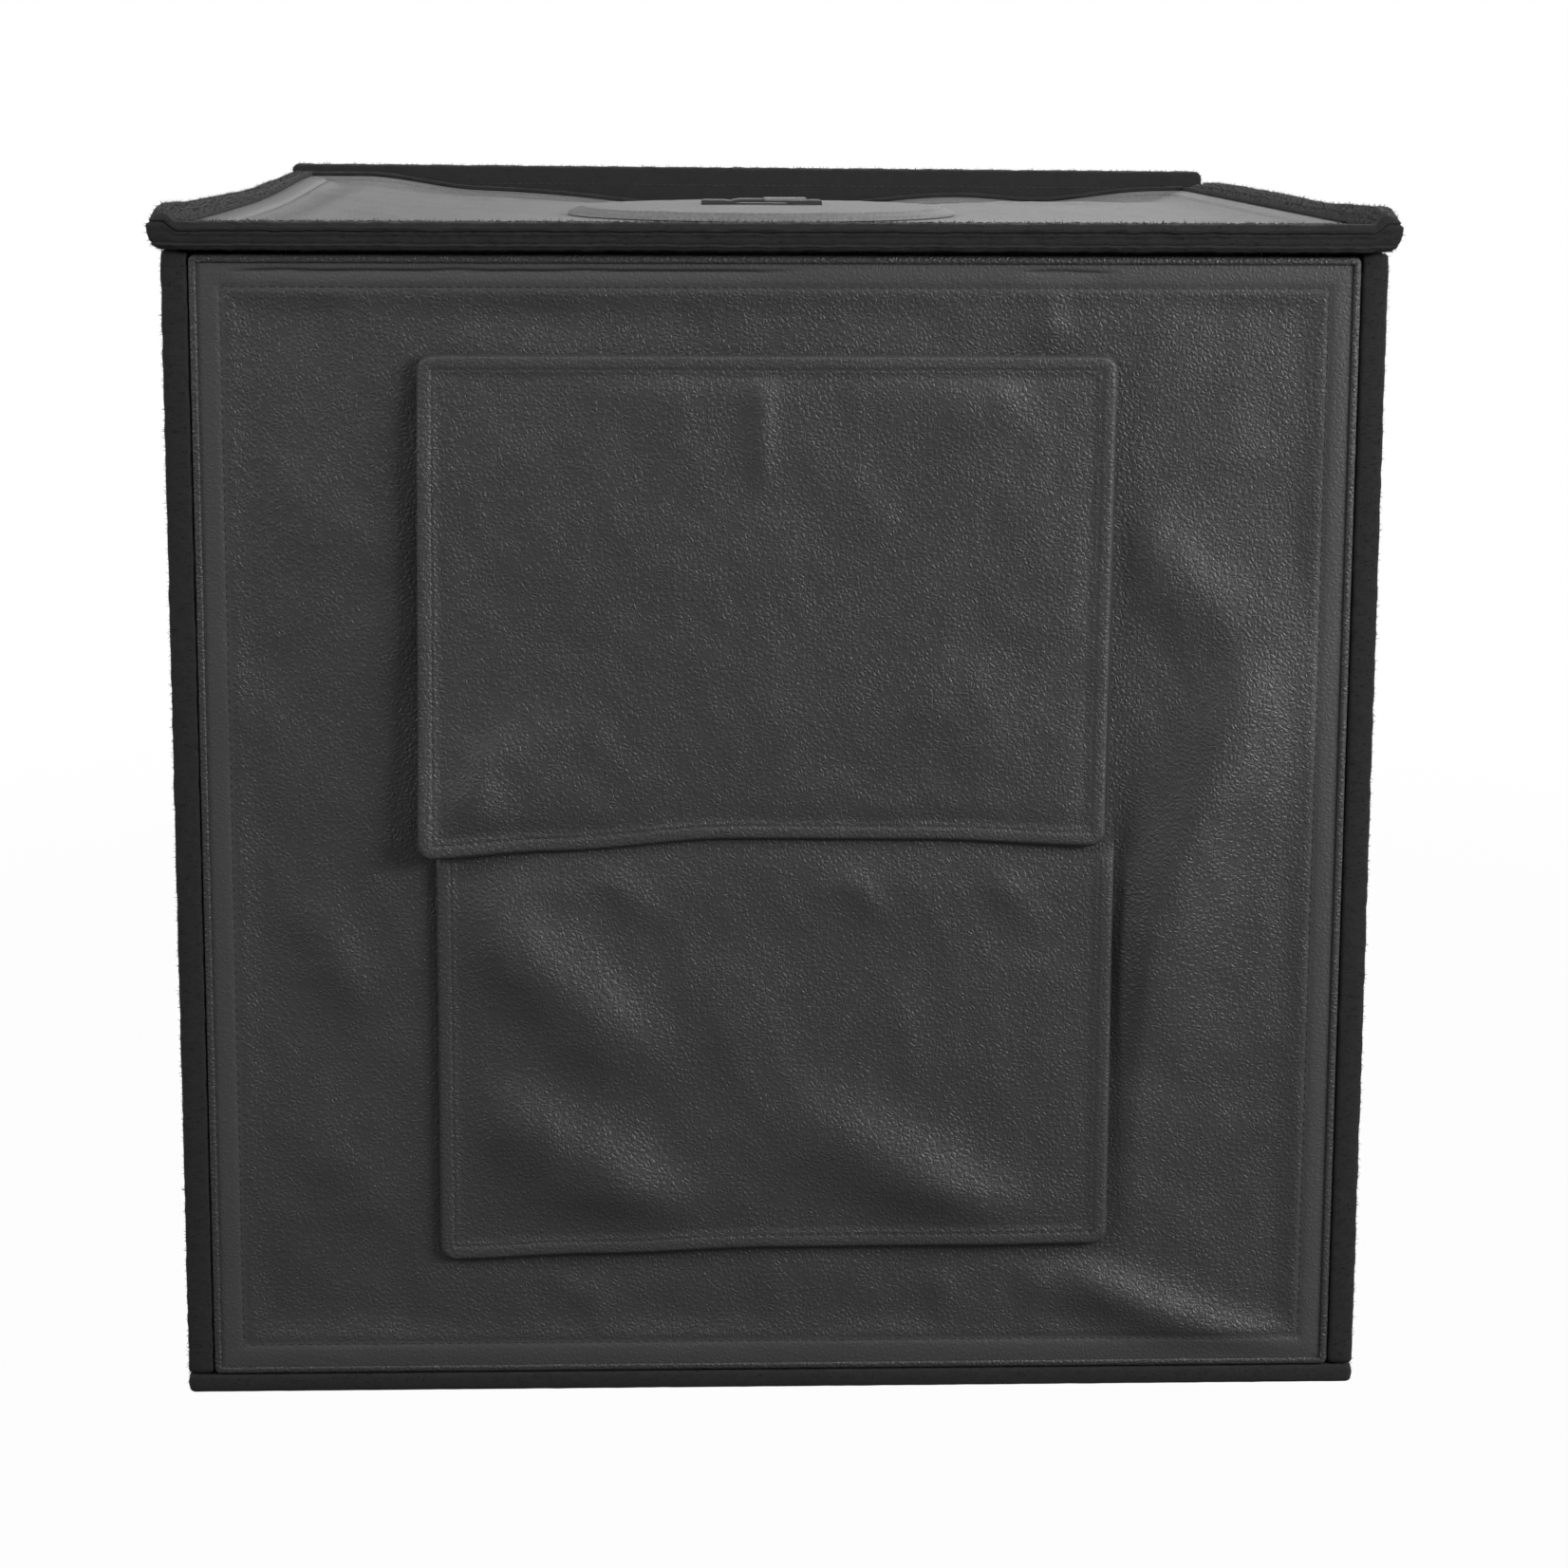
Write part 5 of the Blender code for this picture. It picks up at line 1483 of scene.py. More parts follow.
class LightTentRoof(bpy.types.Operator):
    """Make the roof's grey cloth and the ring round its window"""

    bl_idname = "light_tent.roof"
    bl_label = "Roof"

    def execute(self, context):
        cell = context.scene.light_tent_cloth.cell
        us, vs = roof_grid(cell, cover_near(ROOF))
        piece = add_sheet(
            "roof_outer_cloth", ROOF, us, vs, roof_level, even(COVER_CLOTH), "grey_roof_cloth",
            in_roof_window, round_roof_window, ROOF.in_hem,
        )
        bend_mesh(piece.data, ROOF, roof_cloth_shape)
        settle(piece, "roof", "grey_roof_cloth", "roof_cover")
        stretched_sheet(piece, ROOF, math.pi * ROOF_WINDOW_RADIUS**2)
        add_roof_rod()
        add_roof_window_ring()
        return {"FINISHED"}


def add_roof_window_ring():
    """The ring sewn round the roof's window."""
    low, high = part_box("roof_window_ring")
    inner, outer = ROOF_WINDOW_RADIUS, ROOF_WINDOW_RADIUS + ROOF_RING_WIDTH
    soft = 0.3 * MM
    profile = (
        (inner, low.z + soft), (inner + soft, low.z), (outer - soft, low.z), (outer, low.z + soft),
        (outer, high.z - soft), (outer - soft, high.z), (inner + soft, high.z), (inner, high.z - soft),
    )
    place = Matrix.Translation((0, (low.y + high.y) / 2, 0))
    ring = add_lathe("roof_window_edge", profile, 96, "black_binding", place)
    settle(ring, "roof", "black_binding", "roof_window_ring")


def add_roof_lining():
    """The silver cloth under the roof."""
    cell = bpy.context.scene.light_tent_cloth.lining_cell
    us, vs = roof_grid(cell, (ROOF.edge, ROOF.leg, ROOF.hem_end, ROOF.hem_end + ROOF.slope))
    piece = add_sheet(
        "roof_inner_cloth", ROOF, us, vs, lambda u, v: ROOF.lining_level(u, v, 15), even(LINING_CLOTH),
        "silver_lining", in_roof_window, round_roof_window,
    )
    bend_mesh(piece.data, ROOF, roof_hang)
    settle(piece, "roof", "silver_lining", "roof_lining")
    stretched_sheet(piece, ROOF, math.pi * ROOF_WINDOW_RADIUS**2)


def add_roof_rod():
    """The roof's steel rod, which hangs down at the rear with the cloth."""
    reach = ROOF.edge + ROD_SIDE_ROOM + ROOF_ROD / 2
    rectangle = (ROOF.left + reach, ROOF.right - reach, reach, ROOF.height - reach)
    radius = ROOF_ROD / 2
    section = [(inset, rise - ROOF.thickness / 2) for inset, rise in on_circle(radius, 14)]
    mesh = swept_rim(
        "roof_frame_rod", ROOF, rectangle, ROD_CORNER_RADIUS - radius, section, 6 * MM, roof_hang
    )
    settle(add_object("roof_frame_rod", mesh, "steel_rod"), "roof", "steel_rod", "roof_rod")


def add_lathe(name, profile, steps, finish_name, place, sharp=40):
    """A closed profile of (radius, height) points turned about its own axis, then placed."""
    points, faces = [], []
    count = len(profile)
    for step in range(steps):
        turn = place @ Matrix.Rotation(2 * math.pi * step / steps, 4, "Z")
        points += [turn @ Vector((radius, 0, height)) for radius, height in profile]
    for step in range(steps):
        beyond = (step + 1) % steps
        for k in range(count):
            after = (k + 1) % count
            here, there = step * count, beyond * count
            faces.append((here + k, there + k, there + after, here + after))
    mesh = mesh_from(name, points, faces, sharp=sharp)
    merge_points(mesh)
    lay_flat_places(mesh)
    return add_object(name, mesh, finish_name)


HATCH_RADIUS = 74 * MM
HATCH_SEAM = 4.5 * MM
HATCH_NEAR = tuple(stop * MM for stop in (0, 0.5, 1.1, 1.8, 3.2, 3.9, 4.5, 5.1, 6))


def hatch_seat():
    """The middle of the hatch's lower face."""
    low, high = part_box("hatch_cloth")
    return Vector(((low.x + high.x) / 2, (low.y + high.y) / 2, low.z))


class Plate:
    """A flat place to lay a piece on: u to the right, v to the rear and n up, from a middle point."""

    def __init__(self, middle):
        self.middle = middle

    def at(self, u, v, n):
        return self.middle + Vector((u, v, n))


def hatch_droop(u, v):
    """How far the hatch's rim hangs down outside the window's ring."""
    return 1.3 * MM * smooth_step((math.hypot(u, v) - ROOF_WINDOW_RADIUS - 6.6 * MM) / (4 * MM))


def hatch_level(u, v):
    """The hatch's outer face: a low crown with a rolled edge and a little slack."""
    from_middle = math.hypot(u, v)
    inset = HATCH_RADIUS - from_middle
    edge = 1.2 * MM * math.sqrt(clamped(inset / (1.4 * MM)))
    crown = 0.9 * MM * (1 - smooth_step(from_middle / HATCH_RADIUS))
    groove = HATCH_GROOVE * bump_at(inset, HATCH_SEAM, GROOVE_HALF_WIDTH)
    wave = 0.35 * MM * ripple(u, v, 26, 90)
    small = ripple(u, v, 9, 91)
    ruffle = 0.3 * MM * small * bump_at(inset, 3 * MM, 5 * MM)
    calm = smooth_step(inset / (6 * MM)) * smooth_step((from_middle - 18 * MM) / (14 * MM))
    return 0.5 * MM + edge * 0.9 + crown - groove + abs(wave) * calm + abs(ruffle) - hatch_droop(u, v)


class LightTentHatch(bpy.types.Operator):
    """Make the round hatch on the roof and its pull loop"""

    bl_idname = "light_tent.hatch"
    bl_label = "Hatch"

    def execute(self, context):
        plate = Plate(hatch_seat())
        radius = HATCH_RADIUS
        lines = edge_lines(-radius, radius, HATCH_NEAR, 3.4 * MM)
        piece = add_sheet(
            "hatch_outer_cloth", plate, lines, lines, hatch_level,
            lambda u, v: hatch_level(u, v) + hatch_droop(u, v),
            "grey_roof_cloth", shape=lambda u, v: onto_circle(u, v, 0, 0, radius, 2 * radius),
            mark=lambda u, v: 1 - smooth_step((radius - math.hypot(u, v) - 4 * MM) / (2 * MM)),
        )
        settle(piece, "hatch", "grey_roof_cloth", "hatch_cloth")
        add_pull_loop(plate)
        return {"FINISHED"}


def add_pull_loop(plate):
    """A webbing handle sewn down at both ends, a little raised in its middle."""
    low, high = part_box("hatch_pull_loop")
    half = (high.x - low.x) / 2
    half_width = (high.y - low.y) / 2
    foot = 9 * MM
    base = low.z - plate.middle.z

    def rise(u):
        return 0.9 * MM * smooth_step((half - abs(u) - foot) / (6 * MM))

    def outer(u, v):
        inset = min(half - abs(u), half_width - abs(v))
        round_off = 0.35 * MM * (1 - clamped(inset / (0.8 * MM))) ** 2
        end = 0.5 * MM * (1 - smooth_step((half - abs(u) - foot) / (2 * MM)))
        return base + 1.3 * MM + rise(u) - round_off + end

    us = edge_lines(-half, half, (0, 0.4 * MM, 0.8 * MM, foot, foot + 2 * MM, foot + 6 * MM), 1.6 * MM)
    vs = edge_lines(-half_width, half_width, (0, 0.4 * MM, 0.8 * MM), 1.4 * MM)
    piece = add_sheet(
        "hatch_handle", plate, us, vs, outer, lambda u, v: outer(u, v) - base - rise(u), "black_tape"
    )
    settle(piece, "hatch", "black_tape", "hatch_pull_loop")
    wrap_low = plate.at(1 * MM, -half_width - 0.3 * MM, base + 1.5 * MM)
    wrap_high = plate.at(17 * MM, half_width + 0.3 * MM, base + 2.5 * MM)
    wrap = soft_box("hatch_handle_wrap", wrap_low, wrap_high, "grey_roof_cloth", 0.25 * MM)
    settle(wrap, "hatch", "grey_roof_cloth")


def rounded_inset(u, v, left, right, bottom, top, radius):
    """How far a point lies inside a rectangle with rounded corners."""
    du = max(left + radius - u, u - right + radius, 0)
    dv = max(bottom + radius - v, v - top + radius, 0)
    if du > 0 and dv > 0:
        return radius - math.hypot(du, dv)
    return min(u - left, right - u, v - bottom, top - v)


def onto_rounded_corners(u, v, left, right, bottom, top, radius):
    """Moves the grid near a rectangle's corners so that each corner becomes an arc."""
    centre_u = min(max(u, left + radius), right - radius)
    centre_v = min(max(v, bottom + radius), top - radius)
    du, dv = u - centre_u, v - centre_v
    length = math.hypot(du, dv)
    if not length:
        return u, v
    factor = max(abs(du), abs(dv)) / length
    return centre_u + du * factor, centre_v + dv * factor


# How the flaps' free and sewn edges wander, in millimetres, from left to right
UPPER_FREE_EDGE = ((-115, -3.6), (-70, -1.8), (-10, 2.2), (50, 1.8), (114, -0.4))
LOWER_SEWN_EDGE = ((-114, -2.8), (-60, -1.0), (0, 0.8), (113, 1.4))
TUCK = 10.0 * MM
# How much of the hem mark the flaps' hems get: it smooths their grain and paints a paler sheen on them
FLAP_HEM_MARK = 0.25
FLAP_STITCH_INSET = 5.0 * MM
FLAP_NEAR = tuple(
    stop * MM for stop in (0, 0.2, 0.5, 0.9, 1.4, 2.4, 3.4, 4.1, 4.6, 5.0, 5.4, 5.9, 6.8, 8.2)
)
UPPER_FLAP_LEAN = 3.2 * MM
UPPER_FLAP_TURN = 1.4 * MM
PROUD_SIDE = 2.4 * MM
LEFT_CURL = 3.4 * MM
RIGHT_CURL = 1.4 * MM
FLAP_HEM = 1.75 * MM
FLAP_FIELD = 1.15 * MM
TUCKED_CLOTH = 0.75 * MM


class Flap:
    """A flap over the window: its place on the door, its inner face's level, folds and lower edge."""

    def __init__(self, name, folds, seed, edge_line, edge_reach, tucked=0):
        low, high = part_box(name)
        rise = DOOR.origin.z
        self.left, self.right = low.x, high.x
        self.low, self.high = low.z - rise, high.z - rise + tucked
        self.height = self.high - self.low
        self.seat = DOOR.origin.y - high.y
        self.folds = folds
        self.seed = seed
        self.edge_line = edge_line
        self.edge_reach = edge_reach

    def drift(self, u, v):
        """How far the wandering lower edge moves the cloth up."""
        near_edge = smooth_step(1 - (v - self.low) / self.edge_reach)
        return along_points(u, self.edge_line) * near_edge

    def shape(self, u, v):
        """Moves the grid onto the rounded corners and the wandering lower edge."""
        u, v = onto_rounded_corners(u, v, self.left, self.right, self.low, self.high, FLAP_CORNER)
        return u, v + self.drift(u, v)

    def inset(self, u, v):
        """How far a place lies inside the flap's edge."""
        straight_v = v - self.drift(u, v)
        return rounded_inset(u, straight_v, self.left, self.right, self.low, self.high, FLAP_CORNER)

    def in_hem(self, u, v):
        return FLAP_HEM_MARK * (1 - smooth_step((self.inset(u, v) - 4.6 * MM) / (1.2 * MM)))

    def folds_and_waves(self, u, v):
        """How far the flap's folds lift the cloth, and how far its slack does."""
        waves = slack(u, v, self.seed) + 0.35 * MM
        return sum(ridge(u, v, fold) for fold in self.folds), max(waves, 0)

    def grid(self):
        cell = 0.9 * bpy.context.scene.light_tent_cloth.cell
        us = edge_lines(self.left, self.right, FLAP_NEAR, cell)
        return us, edge_lines(self.low, self.high, FLAP_NEAR, cell)

    def rim(self, inset):
        """Thickness of the cloth: rounded at its edge, doubled in the hem and thin at the stitches."""
        round_off = math.sqrt(clamped(inset / (1.1 * MM), 0.06))
        hem = FLAP_HEM * round_off
        share = smooth_step((inset - 5.2 * MM) / (1.4 * MM))
        groove = 0.35 * MM * bump_at(inset, FLAP_STITCH_INSET, 0.6 * MM)
        return hem + (FLAP_FIELD - hem) * share - groove


def add_upper_flap():
    """The upper flap, sewn along its top. Its left side and lower corners stand a little proud."""
    flap = Flap("upper_flap", UPPER_FLAP_FOLDS, 31, UPPER_FREE_EDGE, 45 * MM)

    def lift(u, v):
        below_top = smooth_step((flap.high - v) / (40 * MM))
        left_side = PROUD_SIDE * math.exp(-(u - flap.left) / (13 * MM)) * below_top
        from_left = math.hypot(u - flap.left, v - flap.low)
        from_right = math.hypot(flap.right - u, v - flap.low)
        curl = LEFT_CURL * bump_at(from_left, 0, 27 * MM) + RIGHT_CURL * bump_at(from_right, 0, 30 * MM)
        calm = smooth_step((flap.inset(u, v) - 4.5 * MM) / (9 * MM))
        folds, waves = flap.folds_and_waves(u, v)
        ruffle = 0.35 * MM * abs(ripple(u, v, 15, 33))
        return left_side + curl + calm * (folds + waves) + ruffle * below_top

    us, vs = flap.grid()
    piece = add_sheet(
        "upper_flap_cloth", DOOR, us, vs,
        lambda u, v: flap.seat + lift(u, v) + flap.rim(flap.inset(u, v)),
        lambda u, v: flap.rim(flap.inset(u, v)), "black_leathercloth", shape=flap.shape, mark=flap.in_hem,
    )
    for vertex in piece.data.vertices:
        down = (DOOR.origin.z + flap.high - vertex.co.z) / flap.height
        vertex.co.x -= UPPER_FLAP_LEAN + UPPER_FLAP_TURN * down
    settle(piece, "upper_flap", "black_leathercloth", "upper_flap")

    def leaning(u, v):
        down = (flap.high - v) / flap.height
        return u - UPPER_FLAP_LEAN - UPPER_FLAP_TURN * down, v + flap.drift(u, v)

    level = flap.seat + flap.rim(FLAP_STITCH_INSET)
    add_flap_stitches("upper_flap", flap, lambda u, v: level + lift(u, v), leaning)


def add_lower_flap():
    """The lower flap, sewn along its bottom. Its top edge tucks under the upper flap."""
    flap = Flap("lower_flap", LOWER_FLAP_FOLDS, 35, LOWER_SEWN_EDGE, 40 * MM, TUCK)

    def thick(u, v):
        under = smooth_step((flap.high - v - TUCK) / (6 * MM))
        return TUCKED_CLOTH + (flap.rim(flap.inset(u, v)) - TUCKED_CLOTH) * under

    def outer(u, v):
        under = smooth_step((flap.high - v - TUCK - 3 * MM) / (12 * MM))
        right_side = 0.6 * MM * math.exp(-(flap.right - u) / (12 * MM))
        calm = smooth_step((flap.inset(u, v) - 4.5 * MM) / (19 * MM))
        folds, waves = flap.folds_and_waves(u, v)
        held = 0.35 + 0.65 * calm
        return flap.seat + under * (right_side + held * folds + calm * waves) + thick(u, v)

    us, vs = flap.grid()
    piece = add_sheet(
        "lower_flap_cloth", DOOR, us, vs, outer, thick, "black_leathercloth", shape=flap.shape,
        mark=flap.in_hem,
    )
    settle(piece, "lower_flap", "black_leathercloth", "lower_flap")
    add_flap_stitches("lower_flap", flap, outer, lambda u, v: (u, v + flap.drift(u, v)))


def add_flap_stitches(name, flap, level, moved):
    """The line of stitches inside a flap's hem."""
    line = []
    for place in rim_stations((flap.left, flap.right, flap.low, flap.high), FLAP_CORNER, 3 * MM):
        u, v = place(FLAP_STITCH_INSET)
        line.append(DOOR.at(*moved(u, v), level(u, v)))
    add_stitches(name + "_stitches", name, [(line, True)], "black_leathercloth")


class LightTentFlaps(bpy.types.Operator):
    """Make the two flaps over the door's window, and their stitches"""

    bl_idname = "light_tent.flaps"
    bl_label = "Flaps"

    def execute(self, context):
        add_upper_flap()
        add_lower_flap()
        return {"FINISHED"}


def roof_web():
    """Extra points on the roof binding's edge: a rolled top, a piped line and a lower lip."""
    pairs = (
        (1.7, -0.45), (2.6, -0.35), (3.0, 0.35), (3.3, 0.35), (3.6, -0.2), (4.0, -0.2), (4.4, 0.15),
        (5.2, 0.1), (6.4, 0.0), (6.8, 0.3), (7.1, -0.1), (7.6, -0.3), (8.0, 0.1),
    )
    return [(depth * MM, inset * MM) for depth, inset in pairs]


def corner_points(u, v, n):
    """Pinches the roof's front corners into soft points: drawn in above and below, full in the middle."""
    corner_u = math.copysign(ROOF.right, u)
    distance = math.hypot(u - corner_u, v - ROOF.height)
    depth = min(abs(n + 4.6 * MM) / (4.6 * MM), 1.2)
    draw = (0.5 - 4.4 * depth**1.4) * MM * bump_at(distance, 0, 8 * MM)
    return u + draw * math.copysign(1, u), v + draw * 0.4, n


class LightTentBindings(bpy.types.Operator):
    """Make the tapes folded round the panels' edges, with their fuzz and stitches"""

    bl_idname = "light_tent.bindings"
    bl_label = "Edge bindings"

    def execute(self, context):
        for number, panel in enumerate((LEFT_WALL, RIGHT_WALL, REAR_WALL, BASE)):
            inner = REAR_INNER_LEG if panel is REAR_WALL else panel.leg
            warp = uneven(number, 0.28 * MM, 4 * MM)
            if panel is BASE:
                warp = in_turn(uneven(number, 0.12 * MM), lambda u, v, n: (u, v, min(n, 0)))
            if panel is REAR_WALL:
                warp = in_turn(warp, rear_edge)
            outside, inside = folded_tape(panel.thickness, panel.binding, panel.leg, inner)
            add_binding(panel, outside, inside, warp, 2.4 * MM)
        warp = in_turn(corner_points, uneven(9, 0.35 * MM, 4 * MM), roof_shape)
        outside, inside = folded_tape(
            ROOF.thickness, ROOF.binding, ROOF.leg, ROOF.leg, web=roof_web()
        )
        add_binding(ROOF, outside, inside, warp, 1.2 * MM)
        outside, inside = folded_tape(
            DOOR.thickness, DOOR.binding, DOOR.leg, DOOR.leg, fold=1.1 * MM, bulge=0.15 * MM
        )
        mesh = swept_rim(
            "front_door_edge", DOOR, DOOR.rectangle, 2 * MM, outside + inside, 4 * MM,
            uneven(5, 0.08 * MM),
        )
        edge = add_object("front_door_edge", mesh, "black_leathercloth")
        settle(edge, "front_door", "black_leathercloth", "front_door_binding")
        return {"FINISHED"}


# How deep the base's tape stays without nap, so that the fibres don't reach the floor
BARE_UNDERSIDE = 1.9 * MM


def rear_edge(u, v, n):
    """Draws the rear wall's top edge up a little, most at its left as seen from the front."""
    near_top = smooth_step((v - REAR_WALL.height + 14 * MM) / (10 * MM))
    return u, v + 1.1 * MM * (1 + u / REAR_WALL.right) * near_top, n


def add_binding(panel, outside, inside, warp, corner):
    """A panel's edge tape, its fuzz and the stitches through both of its legs."""
    name = panel.name + "_edge_tape"
    step = 4 * MM if panel is BASE else 2 * MM
    mesh = swept_rim(name, panel, panel.rectangle, corner, outside + inside, step, warp)
    piece = add_object(name, mesh, "black_binding")
    settle(piece, panel.name, "black_binding", panel.name + "_binding")
    bare = BARE_UNDERSIDE if panel is BASE else -MM
    napped = [(depth, n) for depth, n in outside if depth < panel.leg + MM and -n > bare]
    nap = swept_rim(name + "_face", panel, panel.rectangle, corner, napped, 4 * MM, warp, closed=False)
    add_fuzz(name + "_fuzz", panel.name, nap)
    inset = panel.leg - 1.9 * MM
    above = 0.08 * MM
    lines = [rim_line(panel, panel.rectangle, corner, inset, lambda u, v: -panel.thickness - above, warp)]
    if panel is not BASE:
        lines.append(rim_line(panel, panel.rectangle, corner, inset, lambda u, v: above, warp))
    add_stitches(name + "_stitches", panel.name, lines, "black_binding")


HEM_CORNER = 1 * MM
THREAD_LIFT = 0.05 * MM


class LightTentHemStitches(bpy.types.Operator):
    """Make the stitches along the hems of the walls, the door, the roof and the hatch"""

    bl_idname = "light_tent.hem_stitches"
    bl_label = "Hem stitches"

    def execute(self, context):
        for panel, folds, seed in (
            (LEFT_WALL, SIDE_FOLDS, LEFT_SEED), (RIGHT_WALL, RIGHT_FOLDS, RIGHT_SEED),
            (REAR_WALL, REAR_FOLDS, REAR_SEED), (DOOR, DOOR_FOLDS, DOOR_SEED),
        ):
            def level(u, v, panel=panel, folds=folds, seed=seed):
                return panel.cover_level(u, v, folds, seed) + THREAD_LIFT

            line = rim_line(panel, panel.rectangle, HEM_CORNER, panel.seam, level)
            add_stitches(panel.name + "_hem_stitches", panel.name, [line], "black_leathercloth")
        line = rim_line(
            ROOF, ROOF.rectangle, HEM_CORNER, ROOF.seam, lambda u, v: roof_level(u, v) + THREAD_LIFT,
            roof_cloth_shape,
        )
        add_stitches("roof_hem_stitches", "roof", [line], "grey_roof_cloth", "grey_thread")
        plate = Plate(hatch_seat())
        places = on_circle(HATCH_RADIUS - HATCH_SEAM, 140)
        ring = [plate.at(u, v, hatch_level(u, v) + THREAD_LIFT) for u, v in places]
        add_stitches("hatch_stitches", "hatch", [(ring, True)], "grey_roof_cloth", "grey_thread")
        return {"FINISHED"}


def soft_block(name, node, finish_name, body, bevel):
    """A strip or a cap in the place of a flat solid."""
    low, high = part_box(node)
    return settle(soft_box(name, low, high, finish_name, bevel), body, finish_name, node)


def soft_box(name, low, high, finish_name, bevel):
    """A strip between two corners, with soft edges and a slightly uneven face."""
    size = high - low
    bm = bmesh.new()
    bmesh.ops.create_cube(bm, size=1)
    for vertex in bm.verts:
        vertex.co = (low + high) / 2 + Vector(a * b for a, b in zip(vertex.co, size))
    bmesh.ops.bevel(
        bm, geom=list(bm.edges), offset=bevel, segments=2, profile=0.6, affect="EDGES", clamp_overlap=True
    )
    longest = max(range(3), key=lambda k: size[k])
    normal = Vector([1.0 if k == longest else 0.0 for k in range(3)])
    for stop in spaced(low[longest], high[longest], 5 * MM)[1:-1]:
        bmesh.ops.bisect_plane(
            bm, geom=list(bm.verts) + list(bm.edges) + list(bm.faces), plane_co=normal * stop,
            plane_no=normal,
        )
    thinnest = min(range(3), key=lambda k: size[k])
    for vertex in bm.verts:
        wave = noise.noise(vertex.co * 120)
        vertex.co[thinnest] += 0.06 * size[thinnest] * wave
    mesh = mesh_of(bm, name, 40)
    lay_flat_places(mesh)
    return add_object(name, mesh, finish_name)


# The flat strips of tape: name, the solid that each stands for, and its body
STRIPS = (
    ("window_loop_tape_left", "window_tape_left", "front_door"),
    ("window_loop_tape_right", "window_tape_right", "front_door"),
    ("door_hook_strip_left", "door_hook_tape_left", "front_door"),
    ("door_hook_strip_right", "door_hook_tape_right", "front_door"),
    ("left_door_flange", "left_wall_door_flange", "left_wall"),
    ("right_door_flange", "right_wall_door_flange", "right_wall"),
    ("upper_flap_allowance", "upper_flap_seam", "front_door"),
    ("lower_flap_allowance", "lower_flap_seam", "front_door"),
    ("backdrop_hanger", "backdrop_hanger_tape", "rear_wall"),
    ("front_light_grip_tape", "front_light_mounting_tape", "roof"),
    ("rear_light_grip_tape", "rear_light_mounting_tape", "roof"),
)


def add_window_binding():
    """The tape folded round the window's edge."""
    wall = DOOR_BINDING
    low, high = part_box("window_edge_tape")
    outer = DOOR.origin.y - low.y
    inner = DOOR.origin.y - high.y
    leg = WINDOW_TAPE
    section = [
        (-leg, outer - 0.15 * MM), (0.3 * MM - leg, outer), (0.0, outer), (0.4 * MM, outer - 0.2 * MM),
        (wall, outer - 0.7 * MM), (wall, inner + 0.7 * MM), (0.4 * MM, inner + 0.2 * MM), (0.0, inner),
        (0.3 * MM - leg, inner), (-leg, inner + 0.15 * MM), (-leg, inner + wall),
        (-GAP, inner + wall), (-GAP, outer - wall), (-leg, outer - wall),
    ]
    mesh = swept_rim(
        "window_binding", DOOR, WINDOW, 0.9 * MM, section, 5 * MM, uneven(6, 0.05 * MM)
    )
    piece = add_object("window_binding", mesh, "black_binding")
    settle(piece, "front_door", "black_binding", "window_edge_tape")


class LightTentTrim(bpy.types.Operator):
    """Make the window's edge tape, the loop and hook tapes, the corner flanges and the seam allowances"""

    bl_idname = "light_tent.trim"
    bl_label = "Tapes and trim"

    def execute(self, context):
        add_window_binding()
        for name, node, body in STRIPS:
            soft_block(name, node, "black_tape", body, 0.25 * MM)
        return {"FINISHED"}


BACKDROP_SHEET = 1.0 * MM
BACKDROP_BEND = 95 * MM


def backdrop_line(back, lie, top, front):
    """The sheet's side view as (y, z) points: down at the rear, round the bend and forwards."""
    bend = BACKDROP_BEND
    line = [(back, top), (back, top - 1 * MM), (back, top - 3 * MM)]
    line += [(back, height) for height in reversed(spaced(lie + bend, top - 6 * MM, 7 * MM))]
    for step in range(1, 24):
        angle = math.pi / 2 * step / 24
        line.append((back - bend + bend * math.cos(angle), lie + bend - bend * math.sin(angle)))
    line += [(y, lie) for y in reversed(spaced(front + 4 * MM, back - bend, 7 * MM))]
    return line + [(front + 2 * MM, lie), (front, lie)]


def slab_faces(rows, columns):
    """The faces of a closed sheet whose points come in pairs, below and above, row by row."""

    def number(k, i):
        return 2 * (k * columns + i)

    faces = []
    for k in range(rows - 1):
        for i in range(columns - 1):
            a, b, c, d = number(k, i), number(k, i + 1), number(k + 1, i + 1), number(k + 1, i)
            faces += [(a, b, c, d), (d + 1, c + 1, b + 1, a + 1)]
    rim = []
    for k in range(rows - 1):
        rim += [(number(k, 0), number(k + 1, 0)), (number(k + 1, columns - 1), number(k, columns - 1))]
    for i in range(columns - 1):
        rim += [(number(0, i + 1), number(0, i)), (number(rows - 1, i), number(rows - 1, i + 1))]
    return faces + [(a, b, b + 1, a + 1) for a, b in rim]


